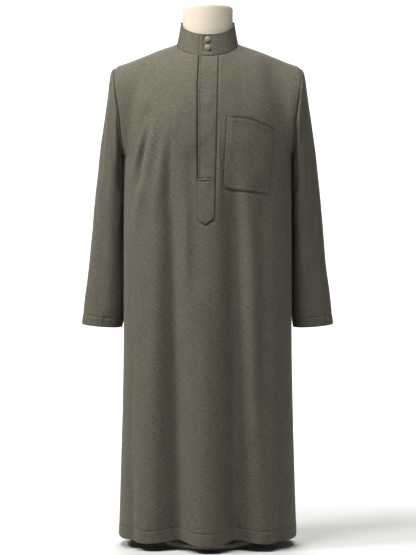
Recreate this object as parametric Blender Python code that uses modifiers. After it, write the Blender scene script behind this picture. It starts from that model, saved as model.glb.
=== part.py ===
"""A thobe with a stand collar, worn by a limbless dress form on a round base.

Metres, +Z up. The front of the thobe faces -Y and the origin is the middle of
the base plate's underside. Left and right in names are the wearer's.
"""
import math
from collections import namedtuple

import bmesh
import bpy
import numpy as np
from mathutils import Matrix, Vector

# Cloth
CLOTH_WALL = 0.0015
COLLAR_WALL = 0.0020
PATCH_WALL = 0.0013
SEAM_GAP = 0.0003

# Mesh fineness of the panels: a half panel's columns are split at the neck
NECK_COLUMNS = 6
SHOULDER_COLUMNS = 8
SKIRT_ROWS = 20
ARMHOLE_ROWS = 8
SLEEVE_RINGS = 15
COLLAR_ROWS = 3

# Body, from the hem up to the armhole
UNDERARM_Z = 1.000
SIDE_SEAM_Y = -0.012
HEM_FRONT_Z = 0.018
HEM_SIDE_RISE = 0.009
HEM_FOLD_LIFT = 0.20
HEM_LIFT_REACH = 0.45
COLUMN_CROWDING = 1.25

# Shoulder and armhole
SHOULDER_HALF_WIDTH = 0.2375
SHOULDER_Z = 1.236
SHOULDER_SEAM_Y = 0.005
SHOULDER_ROUNDING = math.radians(86)
ARMHOLE_OUTWARD_CURVE = 0.009
ARMHOLE_BLEND_START = 0.62

# Neckline, where the collar is sewn on
NECK_HALF_WIDTH = 0.079
NECK_SIDE_Z = 1.297
NECK_SIDE_Y = 0.004
NECK_FRONT_DEPTH = 0.078
NECK_BACK_DEPTH = 0.060
NECK_FRONT_DROP = 0.0415
NECK_BACK_RISE = 0.012

# Stand collar
COLLAR_TOP_HALF_WIDTH = 0.0695
COLLAR_TOP_SIDE_Z = 1.352
COLLAR_TOP_SIDE_Y = 0.000
COLLAR_TOP_FRONT_DEPTH = 0.062
COLLAR_TOP_BACK_DEPTH = 0.056
COLLAR_TOP_FRONT_DROP = 0.040
COLLAR_TOP_BACK_RISE = 0.012
COLLAR_STEP = COLLAR_WALL + SEAM_GAP
COLLAR_LAP_COLUMNS = 1
COLLAR_EASE_COLUMNS = 2

# Snaps on the collar's front, as distances below its top edge
SNAP_RADIUS = 0.0080
SNAP_HEIGHT = 0.0022
SNAP_DROPS = {"collar_snap_upper": 0.0135, "collar_snap_lower": 0.0360}

# Dress form and stand
FORM_SIDES = 24
NECK_CAP_ROUNDING = 0.009
POLE_RADIUS = 0.0125
FLANGE_RADIUS = 0.045
FLANGE_THICKNESS = 0.005
BASE_RADIUS = 0.110
BASE_THICKNESS = 0.010
BASE_EDGE = 0.003
SOCKET_RADIUS = 0.024
SOCKET_TOP_Z = 0.036
TURNED_STEPS = 32

Face = namedtuple("Face", "name facing depth_column neck_depth neck_lift neck_slope armhole_depth")
FRONT = Face("front", -1, "front", NECK_FRONT_DEPTH, -NECK_FRONT_DROP, math.radians(52), 0.058)
BACK = Face("back", 1, "back", NECK_BACK_DEPTH, NECK_BACK_RISE, math.radians(64), 0.064)

# Plain sections of the body: half width at the side seams, and depth before and behind them
Section = namedtuple("Section", "z half_width front back squareness")
BODY_SECTIONS = [
    Section(0.000, 0.2300, 0.176, 0.174, 2.15),
    Section(0.150, 0.2255, 0.168, 0.165, 2.15),
    Section(0.320, 0.2210, 0.158, 0.153, 2.20),
    Section(0.500, 0.2175, 0.148, 0.143, 2.25),
    Section(0.700, 0.2171, 0.138, 0.134, 2.30),
    Section(0.860, 0.2171, 0.130, 0.128, 2.30),
    Section(1.000, 0.2171, 0.125, 0.122, 2.30),
]

# Hanging folds of the body. Turns run from the centre line (0) to a side seam (1 or -1), +X
# positive; a positive depth sinks into the body, and spreads are half widths in turns.
Fold = namedtuple("Fold", "face turn_top turn_low z_top z_low spread_top spread_low depth_top depth_low")
BODY_FOLDS = [
    Fold("front", -0.250, -0.241, 1.04, -0.40, 0.055, 0.170, 0.010, 0.076),
    Fold("front", 0.148, 0.255, 1.05, -0.40, 0.055, 0.155, 0.009, 0.074),
    Fold("front", -0.09, -0.060, 1.04, 0.62, 0.050, 0.050, 0.004, 0.004),
    Fold("front", 0.40, 0.460, 0.98, 0.20, 0.070, 0.080, 0.006, 0.006),
    Fold("front", -0.48, -0.560, 1.14, 0.90, 0.060, 0.060, 0.006, 0.006),
    Fold("front", -0.66, -0.640, 0.55, -0.40, 0.060, 0.080, 0.002, 0.020),
    Fold("front", 0.62, 0.600, 0.55, -0.40, 0.060, 0.080, 0.002, 0.020),
    Fold("back", -0.42, -0.400, 1.06, -0.40, 0.070, 0.165, 0.008, 0.064),
    Fold("back", 0.02, 0.060, 0.98, -0.40, 0.065, 0.150, 0.006, 0.056),
    Fold("back", 0.47, 0.500, 1.02, -0.40, 0.070, 0.155, 0.008, 0.060),
    Fold("back", 0.22, 0.240, 1.12, 0.66, 0.060, 0.060, 0.004, 0.004),
]

# Sleeve rings from the armhole (0) to the cuff (1), as the outer and the inner point of each
Ring = namedtuple("Ring", "along outer_x outer_z inner_x inner_z middle_y half_depth")
SLEEVE_SECTIONS = [
    Ring(0.00, 0.2375, 1.2360, 0.2171, 1.0000, -0.001, 0.061),
    Ring(0.07, 0.2475, 1.2225, 0.2202, 0.9980, 0.001, 0.066),
    Ring(0.20, 0.2602, 1.1500, 0.2168, 0.9650, 0.013, 0.072),
    Ring(0.36, 0.2768, 1.0380, 0.2148, 0.9100, 0.025, 0.077),
    Ring(0.55, 0.2938, 0.8905, 0.2150, 0.8150, 0.034, 0.074),
    Ring(0.74, 0.3090, 0.7250, 0.2145, 0.6920, 0.032, 0.064),
    Ring(0.90, 0.3200, 0.6280, 0.2170, 0.6110, 0.027, 0.055),
    Ring(1.00, 0.3262, 0.5690, 0.2245, 0.5610, 0.025, 0.050),
]
SLEEVE_SQUARENESS = 2.15
CUFF_FRONT_DROP = 0.004

# Long soft folds of a sleeve: angles run from its inner line (0) over the front to its outer line (180)
SleeveFold = namedtuple("SleeveFold", "angle_top angle_low along_top along_low spread depth")
SLEEVE_FOLDS = [
    SleeveFold(62, 50, 0.02, 0.42, 17, 0.0060),
    SleeveFold(118, 100, 0.40, 0.98, 22, 0.0035),
    SleeveFold(250, 262, 0.10, 0.75, 24, 0.0055),
]

# Outlines of the pieces sewn on the front, as (x, z) corners going round clockwise from the front
PLACKET_OUTLINE = [
    (-0.0202, 1.2545),
    (0.0263, 1.2545),
    (0.0158, 0.8367),
    (-0.0053, 0.8216),
    (-0.0230, 0.8340),
    (-0.0243, 1.170),
]
POCKET_OUTLINE = [
    (0.0507, 1.0985),
    (0.1120, 1.0925),
    (0.1700, 1.0680),
    (0.1600, 0.9120),
    (0.1510, 0.9010),
    (0.0480, 0.9140),
    (0.0400, 0.9260),
]

# Sections of the dress form, from its underside to the flat top of the neck
FormSection = namedtuple("FormSection", "z half_width front back squareness")
FORM_SECTIONS = [
    FormSection(0.620, 0.138, 0.098, 0.078, 2.3),
    FormSection(0.632, 0.150, 0.108, 0.086, 2.3),
    FormSection(0.700, 0.166, 0.122, 0.097, 2.3),
    FormSection(0.800, 0.160, 0.115, 0.088, 2.3),
    FormSection(0.890, 0.156, 0.111, 0.084, 2.3),
    FormSection(1.000, 0.172, 0.119, 0.091, 2.3),
    FormSection(1.080, 0.184, 0.119, 0.090, 2.3),
    FormSection(1.140, 0.190, 0.108, 0.083, 2.3),
    FormSection(1.190, 0.188, 0.086, 0.070, 2.3),
    FormSection(1.220, 0.174, 0.068, 0.058, 2.3),
    FormSection(1.245, 0.138, 0.053, 0.050, 2.2),
    FormSection(1.265, 0.098, 0.049, 0.048, 2.1),
    FormSection(1.282, 0.074, 0.049, 0.049, 2.0),
    FormSection(1.300, 0.067, 0.052, 0.050, 2.0),
    FormSection(1.330, 0.0655, 0.053, 0.050, 2.0),
    FormSection(1.393, 0.0655, 0.053, 0.050, 2.0),
]
FORM_RINGS = [0.620, 0.632, 0.665, 0.700, 0.750, 0.800, 0.850, 0.890, 0.945, 1.000, 1.045, 1.080,
              1.112, 1.140, 1.167, 1.190, 1.206, 1.220, 1.234, 1.245, 1.256, 1.265, 1.282, 1.300,
              1.330, 1.384]


def clear_scene():
    for thing in list(bpy.data.objects):
        bpy.data.objects.remove(thing, do_unlink=True)


def colour(hex_code):
    """Linear RGBA of an sRGB hex code."""
    channels = [int(hex_code[i:i + 2], 16) / 255 for i in (0, 2, 4)]
    return [c / 12.92 if c <= 0.04045 else ((c + 0.055) / 1.055) ** 2.4 for c in channels] + [1.0]


def make_material(name, hex_code, roughness, metallic=0.0):
    material = bpy.data.materials.new(name)
    material.use_nodes = True
    shader = material.node_tree.nodes["Principled BSDF"]
    shader.inputs["Base Color"].default_value = colour(hex_code)
    shader.inputs["Roughness"].default_value = roughness
    shader.inputs["Metallic"].default_value = metallic
    return material


def smooth(value):
    """Ease from 0 to 1 with flat ends."""
    value = np.clip(value, 0.0, 1.0)
    return value * value * (3 - 2 * value)


def mix(first, second, share):
    return first + (second - first) * share


def read(table, column, at):
    """A column of a table on a smooth curve through its rows, at values of its first column."""
    places = np.array([row[0] for row in table])
    values = np.array([getattr(row, column) for row in table])
    slopes = np.gradient(values, places)
    at = np.clip(at, places[0], places[-1])
    low = np.clip(np.searchsorted(places, at, side="right") - 1, 0, len(places) - 2)
    step = places[low + 1] - places[low]
    t = (at - places[low]) / step
    return (values[low] * (1 + 2 * t) * (1 - t) ** 2 + values[low + 1] * t * t * (3 - 2 * t)
            + step * (slopes[low] * t * (1 - t) ** 2 - slopes[low + 1] * t * t * (1 - t)))


def unit(vectors):
    return vectors / np.maximum(np.linalg.norm(vectors, axis=-1, keepdims=True), 1e-12)


def grid_normals(points, facing):
    """Unit normals of a grid of points, rows going up and columns going to +X."""
    across = np.gradient(points, axis=1)
    up = np.gradient(points, axis=0)
    return unit(np.cross(across, up)) * -facing


def section_point(turn, z, face):
    """A point of the body's plain section, at a turn from the centre line and a height."""
    angle = turn * math.pi / 2
    power = 2 / read(BODY_SECTIONS, "squareness", z)
    half_width = read(BODY_SECTIONS, "half_width", z)
    depth = read(BODY_SECTIONS, face.depth_column, z)
    x = half_width * np.sign(turn) * np.abs(np.sin(angle)) ** power
    y = SIDE_SEAM_Y + face.facing * depth * np.abs(np.cos(angle)) ** power
    return np.stack([x, y, z], axis=-1)


def neck_point(angle, facing, depth, lift):
    """A point of the neckline, from the centre line (0) to the side of the neck (a right angle)."""
    x = NECK_HALF_WIDTH * np.sin(angle)
    y = NECK_SIDE_Y + facing * depth * np.cos(angle)
    z = NECK_SIDE_Z + lift * np.cos(angle)
    return np.stack([x, y, z], axis=-1)


def top_edge(across, face):
    """The panel's top edge: the neckline in its middle and a shoulder seam at each side."""
    side = np.abs(across)
    neck_share = NECK_COLUMNS / (NECK_COLUMNS + SHOULDER_COLUMNS)
    neck = neck_point(np.minimum(side / neck_share, 1) * math.pi / 2, face.facing, face.neck_depth,
                      face.neck_lift)
    along = np.clip((side - neck_share) / (1 - neck_share), 0, 1)
    shoulder = np.stack([mix(NECK_HALF_WIDTH, SHOULDER_HALF_WIDTH, along),
                         mix(NECK_SIDE_Y, SHOULDER_SEAM_Y, along),
                         mix(NECK_SIDE_Z, SHOULDER_Z, along)], axis=-1)
    edge = np.where((side > neck_share)[..., None], shoulder, neck)
    edge[..., 0] *= np.where(across < 0, -1, 1)
    return edge


def chest_point(across, up, face):
    """A point above the underarm: up runs from 0 there to 1 at the shoulder seam or neckline."""
    side = np.abs(across)
    turn = np.sign(across) * side ** COLUMN_CROWDING
    base = section_point(turn, np.full_like(turn, UNDERARM_Z), face)
    top = top_edge(across, face)
    near_armhole = smooth((side - ARMHOLE_BLEND_START) / (1 - ARMHOLE_BLEND_START))
    bend = mix(face.neck_slope, SHOULDER_ROUNDING, smooth(side / 0.6))
    rise = mix(np.sin(up * bend) / np.sin(bend), (1 - np.cos(math.pi * up)) / 2, near_armhole)
    lean = mix((1 - np.cos(up * bend)) / (1 - np.cos(bend)), up, near_armhole)
    x = mix(base[..., 0], top[..., 0], mix(up ** 1.5, rise, near_armhole))
    x += np.sign(across) * near_armhole * ARMHOLE_OUTWARD_CURVE * np.sin(math.pi * rise ** 3)
    y = mix(base[..., 1], top[..., 1], lean)
    y += face.facing * near_armhole * face.armhole_depth * np.sin(math.pi * up)
    z = mix(base[..., 2], top[..., 2], rise)
    return np.stack([x, y, z], axis=-1)


def fold_depth(turn, z, face):
    """How far the hanging folds sink the cloth at a turn and a height."""
    total = np.zeros_like(turn)
    for fold in BODY_FOLDS:
        if fold.face != face.name:
            continue
        share = (fold.z_top - z) / (fold.z_top - fold.z_low)
        fade = smooth(share / 0.18) * smooth((1 - share) / 0.18)
        middle = mix(fold.turn_top, fold.turn_low, share)
        spread = mix(fold.spread_top, fold.spread_low, share)
        depth = mix(fold.depth_top, fold.depth_low, np.clip(share, 0, 1))
        total += fade * depth * np.exp(-((turn - middle) / spread) ** 2)
    return total


def panel_grid(face):
    """Outer points of a panel, rows from the hem to the top edge and columns from -X to +X."""
    half = NECK_COLUMNS + SHOULDER_COLUMNS
    across = np.arange(-half, half + 1) / half
    turn = np.sign(across) * np.abs(across) ** COLUMN_CROWDING
    rows = []
    for row in range(SKIRT_ROWS):
        level = mix(HEM_FRONT_Z, UNDERARM_Z, row / SKIRT_ROWS)
        z = np.full_like(turn, level)
        lift = HEM_SIDE_RISE * turn ** 2 + HEM_FOLD_LIFT * fold_depth(turn, z, face)
        z = z + lift * (1 - smooth((level - HEM_FRONT_Z) / HEM_LIFT_REACH))
        rows.append(section_point(turn, z, face))
    for row in range(ARMHOLE_ROWS + 1):
        rows.append(chest_point(across, np.full_like(across, row / ARMHOLE_ROWS), face))
    points = np.array(rows)
    depth = fold_depth(np.broadcast_to(turn, points.shape[:2]), points[..., 2], face)
    calm_edges = 1 - smooth((np.abs(turn) - 0.86) / 0.14)
    depth = depth * calm_edges * (1 - smooth((points[..., 2] - 1.12) / 0.08))
    return points - grid_normals(points, face.facing) * depth[..., None]


def seam_mask(shape):
    """Grid points on the side seams and the shoulder seams."""
    rows, columns = shape
    mask = np.zeros(shape, dtype=bool)
    mask[:SKIRT_ROWS + 1, [0, -1]] = True
    mask[-1, :SHOULDER_COLUMNS + 1] = True
    mask[-1, columns - SHOULDER_COLUMNS - 1:] = True
    return mask


def panel_walls():
    """Outer points, inner points and normals of both panels, which share their seam normals."""
    outer = {face.name: panel_grid(face) for face in (FRONT, BACK)}
    normals = {face.name: grid_normals(outer[face.name], face.facing) for face in (FRONT, BACK)}
    seams = seam_mask(outer["front"].shape[:2])
    shared = unit(normals["front"][seams] + normals["back"][seams])
    walls = {}
    for face in (FRONT, BACK):
        normals[face.name][seams] = shared
        points = outer[face.name]
        points[seams, 1] += face.facing * SEAM_GAP / 2
        walls[face.name] = (points, points - normals[face.name] * CLOTH_WALL, normals[face.name])
    return walls


def grid_triangles(rows, columns, offset, wrap, flip):
    """Triangles over a grid of vertices, with the same diagonals on both sides of a wall."""
    triangles = []
    middle = columns / 2
    for row in range(rows - 1):
        for column in range(columns if wrap else columns - 1):
            beside = (column + 1) % columns
            a = offset + row * columns + column
            b = offset + row * columns + beside
            c = offset + (row + 1) * columns + beside
            d = offset + (row + 1) * columns + column
            pair = [(a, b, c), (a, c, d)] if column < middle else [(a, b, d), (b, c, d)]
            triangles += [tri[::-1] for tri in pair] if flip else pair
    return triangles


def rim_triangles(path, shift, heights):
    """Triangles between an outer edge path and the inner path that lies shift places on.

    Each quad is split from its higher outer corner, so the rims of two pieces at a seam match.
    """
    triangles = []
    for a, b in zip(path, path[1:]):
        if heights[b] >= heights[a]:
            triangles += [(b, a, a + shift), (b, a + shift, b + shift)]
        else:
            triangles += [(b, a, b + shift), (a, a + shift, b + shift)]
    return triangles


def make_object(name, vertices, faces, material, collection):
    mesh = bpy.data.meshes.new(name)
    mesh.from_pydata([tuple(v) for v in vertices], [], faces)
    mesh.materials.append(material)
    thing = bpy.data.objects.new(name, mesh)
    collection.objects.link(thing)
    closed = bmesh.new()
    closed.from_mesh(mesh)
    bmesh.ops.recalc_face_normals(closed, faces=closed.faces)
    closed.to_mesh(mesh)
    closed.free()
    mesh.shade_smooth()
    mesh.set_sharp_from_angle(angle=math.radians(45))
    return thing


def make_wall(name, outer, inner, wrap, material, collection):
    """A closed wall between an outer and an inner grid, open or joined along its columns."""
    rows, columns = outer.shape[:2]
    count = rows * columns
    faces = grid_triangles(rows, columns, 0, wrap, False) + grid_triangles(rows, columns, count, wrap, True)
    first = list(range(columns))
    last = [(rows - 1) * columns + c for c in range(columns)]
    paths = [first + first[:1], (last + last[:1])[::-1]]
    if not wrap:
        right = [r * columns + columns - 1 for r in range(rows)]
        left = [r * columns for r in range(rows)]
        paths = [first, right, last[::-1], left[::-1]]
    heights = outer[..., 2].ravel()
    for path in paths:
        faces += rim_triangles(path, count, heights)
    vertices = np.concatenate([outer.reshape(-1, 3), inner.reshape(-1, 3)])
    return make_object(name, vertices, faces, material, collection)


def armhole_loop(walls, side):
    """The armhole's edge points and normals, from the underarm up the front and down the back."""
    column = -1 if side > 0 else 0
    front, _, front_normals = walls["front"]
    back, _, back_normals = walls["back"]
    up = slice(SKIRT_ROWS, SKIRT_ROWS + ARMHOLE_ROWS + 1)
    points = np.concatenate([front[up, column], back[up, column][-2:0:-1]])
    normals = np.concatenate([front_normals[up, column], back_normals[up, column][-2:0:-1]])
    return points, normals


def sleeve_fold_depth(angle, along):
    """How far a sleeve's folds sink the cloth; its back has an angle over a half turn."""
    total = np.zeros_like(angle)
    degrees = np.degrees(angle)
    for fold in SLEEVE_FOLDS:
        share = (along - fold.along_top) / (fold.along_low - fold.along_top)
        fade = smooth(share / 0.2) * smooth((1 - share) / 0.2)
        middle = mix(fold.angle_top, fold.angle_low, share)
        total += fade * fold.depth * np.exp(-((degrees - middle) / fold.spread) ** 2)
    return total


def sleeve_grid(walls, side):
    """Outer points of a sleeve, rings from the armhole to the cuff, and the armhole's normals."""
    loop, loop_normals = armhole_loop(walls, side)
    edge = np.roll(loop, -1, axis=0) - np.roll(loop, 1, axis=0)
    inward = unit(np.cross(edge, loop_normals))
    inward *= np.sign((inward * (loop.mean(axis=0) - loop)).sum(axis=1, keepdims=True))
    rings = [loop + inward * SEAM_GAP]
    count = len(loop)
    angle = np.arange(count) / count * 2 * math.pi
    power = 2 / SLEEVE_SQUARENESS
    reach = -np.sign(np.cos(angle)) * np.abs(np.cos(angle)) ** power
    depth = -np.sign(np.sin(angle)) * np.abs(np.sin(angle)) ** power
    for ring in range(1, SLEEVE_RINGS + 1):
        along = ring / SLEEVE_RINGS
        outer_x, outer_z, inner_x, inner_z, middle_y, half_depth = (
            read(SLEEVE_SECTIONS, column, along) for column in Ring._fields[1:])
        x = (outer_x + inner_x) / 2 + reach * (outer_x - inner_x) / 2
        z = (outer_z + inner_z) / 2 + reach * (outer_z - inner_z) / 2
        z = z + CUFF_FRONT_DROP * along ** 3 * depth
        rings.append(np.stack([side * x, middle_y + half_depth * depth, z], axis=-1))
    points = np.array(rings)
    fold = np.array([sleeve_fold_depth(angle, ring / SLEEVE_RINGS) for ring in range(SLEEVE_RINGS + 1)])
    return points - ring_normals(points, side) * fold[..., None], loop_normals


def ring_normals(points, side):
    """Unit normals of a tube of rings, pointing out of it."""
    around = np.roll(points, -1, axis=1) - np.roll(points, 1, axis=1)
    down = np.gradient(points, axis=0)
    return unit(np.cross(down, around)) * side


def make_sleeve(name, walls, side, material, collection):
    outer, loop_normals = sleeve_grid(walls, side)
    normals = ring_normals(outer, side)
    leaving = unit(outer[1] - outer[0])
    standing_out = smooth(2 * (leaving * loop_normals).sum(axis=1, keepdims=True))
    normals[0] = unit(mix(loop_normals, normals[0], standing_out))
    return make_wall(name, outer, outer - normals * CLOTH_WALL, True, material, collection)


def collar_ring(angle, height, step):
    """A point of the collar's outside: angle from the centre front, height from 0 to 1."""
    front = np.cos(angle) > 0
    base = neck_point(angle, -1, np.where(front, NECK_FRONT_DEPTH, NECK_BACK_DEPTH),
                      np.where(front, -NECK_FRONT_DROP, -NECK_BACK_RISE))
    top = np.stack([
        COLLAR_TOP_HALF_WIDTH * np.sin(angle),
        COLLAR_TOP_SIDE_Y - np.where(front, COLLAR_TOP_FRONT_DEPTH, COLLAR_TOP_BACK_DEPTH) * np.cos(angle),
        COLLAR_TOP_SIDE_Z - np.where(front, COLLAR_TOP_FRONT_DROP, COLLAR_TOP_BACK_RISE) * np.cos(angle),
    ], axis=-1)
    outward = np.stack([np.sin(angle), -np.cos(angle), np.zeros_like(angle)], axis=-1)
    lifted = base + np.array([0, 0, 2 * SEAM_GAP])
    return mix(lifted, top, height) + outward * step[..., None]


def make_collar(material, collection):
    """A band round the neck whose left end laps over its right end at the centre front."""
    column_angle = math.pi / 2 / NECK_COLUMNS
    columns = 4 * NECK_COLUMNS + 2 * COLLAR_LAP_COLUMNS
    places = np.arange(columns + 1) - COLLAR_LAP_COLUMNS
    eased = (places - COLLAR_LAP_COLUMNS) / COLLAR_EASE_COLUMNS
    step = COLLAR_STEP * (1 - smooth(eased))
    angle = places * column_angle
    heights = np.linspace(0, 1, COLLAR_ROWS + 1)
    outer = np.array([collar_ring(angle, height, step) for height in heights])
    across = np.gradient(outer, axis=1)
    up = np.gradient(outer, axis=0)
    normals = unit(np.cross(across, up))
    inner = outer - normals * COLLAR_WALL
    return make_wall("collar", outer, inner, False, material, collection)


def make_patch(name, front_wall, outline, material, collection):
    """A piece that lies on the front: the panel's own faces cut to an outline and moved out."""
    outer, _, normals = front_wall
    rows, columns = outer.shape[:2]
    lifted = (outer + normals * SEAM_GAP).reshape(-1, 3)
    patch = bmesh.new()
    corners = [patch.verts.new(point) for point in lifted]
    for triangle in grid_triangles(rows, columns, 0, False, False):
        patch.faces.new([corners[i] for i in triangle])
    for (x0, z0), (x1, z1) in zip(outline, outline[1:] + outline[:1]):
        outside = Vector((z0 - z1, 0, x1 - x0)).normalized()
        geometry = patch.verts[:] + patch.edges[:] + patch.faces[:]
        bmesh.ops.bisect_plane(patch, geom=geometry, dist=1e-6, plane_co=(x0, 0, z0),
                               plane_no=outside, clear_outer=True)
    mesh = bpy.data.meshes.new(name)
    patch.to_mesh(mesh)
    patch.free()
    mesh.materials.append(material)
    thing = bpy.data.objects.new(name, mesh)
    collection.objects.link(thing)
    shell = thing.modifiers.new("Cloth", "SOLIDIFY")
    shell.thickness = PATCH_WALL
    shell.offset = 1.0
    shell.use_even_offset = False
    return thing


def turn_profile(name, profile, material, collection, steps=TURNED_STEPS):
    """A turned solid from (radius, height) points that run down its outer side from the axis."""
    mesh = bpy.data.meshes.new(name)
    mesh.from_pydata([(radius, 0, height) for radius, height in profile],
                     [(i, i + 1) for i in range(len(profile) - 1)], [])
    mesh.materials.append(material)
    thing = bpy.data.objects.new(name, mesh)
    collection.objects.link(thing)
    screw = thing.modifiers.new("Turn", "SCREW")
    screw.steps = steps
    screw.render_steps = steps
    screw.use_merge_vertices = True
    screw.merge_threshold = 0.00005
    screw.use_smooth_shade = True
    return thing


def make_snap(name, drop, material, collection):
    """A low domed snap cap on the collar's lapping front, square to its surface."""
    profile = [(0, SNAP_HEIGHT), (0.35 * SNAP_RADIUS, 0.96 * SNAP_HEIGHT),
               (0.70 * SNAP_RADIUS, 0.80 * SNAP_HEIGHT), (0.92 * SNAP_RADIUS, 0.48 * SNAP_HEIGHT),
               (SNAP_RADIUS, 0.18 * SNAP_HEIGHT), (SNAP_RADIUS, 0), (0, 0)]
    snap = turn_profile(name, profile, material, collection, steps=20)
    step = np.array([COLLAR_STEP])
    low = Vector(collar_ring(np.zeros(1), 0.0, step)[0])
    high = Vector(collar_ring(np.zeros(1), 1.0, step)[0])
    up = (high - low).normalized()
    outward = Vector((1, 0, 0)).cross(up).normalized()
    place = Matrix((Vector((1, 0, 0)), up, outward)).transposed().to_4x4()
    place.translation = high - up * drop + outward * SEAM_GAP
    snap.matrix_world = place
    return snap


def form_ring(z, shrink=1.0):
    angle = np.arange(FORM_SIDES) / FORM_SIDES * 2 * math.pi
    power = 2 / read(FORM_SECTIONS, "squareness", z)
    half_width = read(FORM_SECTIONS, "half_width", z) * shrink
    depth = np.where(np.sin(angle) < 0, read(FORM_SECTIONS, "front", z), read(FORM_SECTIONS, "back", z))
    x = half_width * np.sign(np.cos(angle)) * np.abs(np.cos(angle)) ** power
    y = depth * shrink * np.sign(np.sin(angle)) * np.abs(np.sin(angle)) ** power
    return np.stack([x, y, np.full_like(angle, z)], axis=-1)


def make_form(material, collection):
    """The padded torso: rings from its flat underside to the rounded edge of the neck's flat top."""
    rings = [form_ring(z) for z in FORM_RINGS]
    top = FORM_SECTIONS[-1].z
    for part in (1, 2, 3):
        angle = part * math.pi / 6
        inset = NECK_CAP_ROUNDING * (1 - math.cos(angle))
        height = top - NECK_CAP_ROUNDING * (1 - math.sin(angle))
        rings.append(form_ring(height, 1 - inset / FORM_SECTIONS[-1].half_width))
    points = np.array(rings)
    count = len(rings)
    faces = grid_triangles(count, FORM_SIDES, 0, True, False)
    faces.append(list(range(FORM_SIDES))[::-1])
    faces.append([(count - 1) * FORM_SIDES + c for c in range(FORM_SIDES)])
    return make_object("form_torso", points.reshape(-1, 3), faces, material, collection)


def make_stand(material, collection):
    """A round base plate with a socket, and the pole from it to the flange under the form."""
    form_underside = FORM_SECTIONS[0].z
    flange_top = form_underside - SEAM_GAP
    turn_profile("stand_base", [
        (0, SOCKET_TOP_Z), (SOCKET_RADIUS - 0.002, SOCKET_TOP_Z), (SOCKET_RADIUS, SOCKET_TOP_Z - 0.002),
        (SOCKET_RADIUS, BASE_THICKNESS + 0.004), (SOCKET_RADIUS + 0.004, BASE_THICKNESS),
        (BASE_RADIUS - BASE_EDGE, BASE_THICKNESS), (BASE_RADIUS, BASE_THICKNESS - BASE_EDGE),
        (BASE_RADIUS, 0.001), (BASE_RADIUS - 0.001, 0), (0, 0),
    ], material, collection, steps=48)
    turn_profile("stand_pole", [
        (0, flange_top), (FLANGE_RADIUS, flange_top), (FLANGE_RADIUS, flange_top - FLANGE_THICKNESS),
        (POLE_RADIUS + 0.006, flange_top - FLANGE_THICKNESS - 0.004),
        (POLE_RADIUS, flange_top - FLANGE_THICKNESS - 0.016),
        (POLE_RADIUS, SOCKET_TOP_Z + SEAM_GAP), (0, SOCKET_TOP_Z + SEAM_GAP),
    ], material, collection, steps=20)


def main():
    clear_scene()
    collection = bpy.data.collections.new("thobe_on_dress_form")
    bpy.context.scene.collection.children.link(collection)

    cloth = make_material("thobe_cloth", "605D51", 0.86)
    snap_cap = make_material("snap_cap", "4F4C42", 0.48)
    form_cloth = make_material("form_jersey", "D2C7B2", 0.90)
    stand_paint = make_material("stand_paint", "EDEBE6", 0.45)

    walls = panel_walls()
    for face in (FRONT, BACK):
        outer, inner, _ = walls[face.name]
        make_wall(face.name + "_panel", outer, inner, False, cloth, collection)
    make_sleeve("sleeve_left", walls, 1, cloth, collection)
    make_sleeve("sleeve_right", walls, -1, cloth, collection)
    make_collar(cloth, collection)
    make_patch("placket", walls["front"], PLACKET_OUTLINE, cloth, collection)
    make_patch("chest_pocket", walls["front"], POCKET_OUTLINE, cloth, collection)
    for name, drop in SNAP_DROPS.items():
        make_snap(name, drop, snap_cap, collection)
    make_form(form_cloth, collection)
    make_stand(stand_paint, collection)


main()
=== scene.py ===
"""Looks of a thobe worn by a limbless dress form on a round base.

Each cloth piece is a fine shell on the form of its solid, with its creases, seams and stitches.
Metres, +Z up. The front of the thobe faces -Y, and left and right in names are the wearer's.
"""
import math
from collections import namedtuple

import bpy
import numpy as np
from mathutils import Matrix, Vector, noise


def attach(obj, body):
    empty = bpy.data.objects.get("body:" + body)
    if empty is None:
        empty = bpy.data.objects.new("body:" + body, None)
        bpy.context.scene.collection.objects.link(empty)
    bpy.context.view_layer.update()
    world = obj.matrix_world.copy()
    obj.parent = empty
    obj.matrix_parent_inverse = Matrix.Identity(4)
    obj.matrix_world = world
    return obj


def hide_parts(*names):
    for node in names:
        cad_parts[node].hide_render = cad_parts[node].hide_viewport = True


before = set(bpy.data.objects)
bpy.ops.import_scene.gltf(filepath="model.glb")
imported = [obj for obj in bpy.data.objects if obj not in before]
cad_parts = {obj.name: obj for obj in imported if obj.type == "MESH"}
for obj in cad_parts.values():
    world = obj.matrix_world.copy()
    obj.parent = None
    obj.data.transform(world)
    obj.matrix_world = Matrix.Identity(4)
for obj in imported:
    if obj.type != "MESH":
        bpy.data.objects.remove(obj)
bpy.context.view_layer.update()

# Body of the thobe, from the hem up to the armhole
UNDERARM_Z = 1.000
SIDE_SEAM_Y = -0.012
HEM_FRONT_Z = 0.018
HEM_SIDE_RISE = 0.009
HEM_FOLD_LIFT = 0.20
HEM_LIFT_REACH = 0.45
COLUMN_CROWDING = 1.25

# Shoulder and armhole
SHOULDER_HALF_WIDTH = 0.2375
SHOULDER_Z = 1.236
SHOULDER_SEAM_Y = 0.005
SHOULDER_ROUNDING = math.radians(86)
SHOULDER_ROUNDING_SHARE = 0.6
CHEST_WIDENING = 1.5
ARMHOLE_OUTWARD_CURVE = 0.009
ARMHOLE_CURVE_LIFT = 3
ARMHOLE_BLEND_START = 0.62

# Neckline, as a share of a half panel's top edge and in its own sizes
NECK_SHARE = 3 / 7
NECK_HALF_WIDTH = 0.079
NECK_SIDE_Z = 1.297
NECK_SIDE_Y = 0.004
NECK_FRONT_DEPTH = 0.078
NECK_BACK_DEPTH = 0.060
NECK_FRONT_DROP = 0.0415
NECK_BACK_RISE = 0.012

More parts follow.
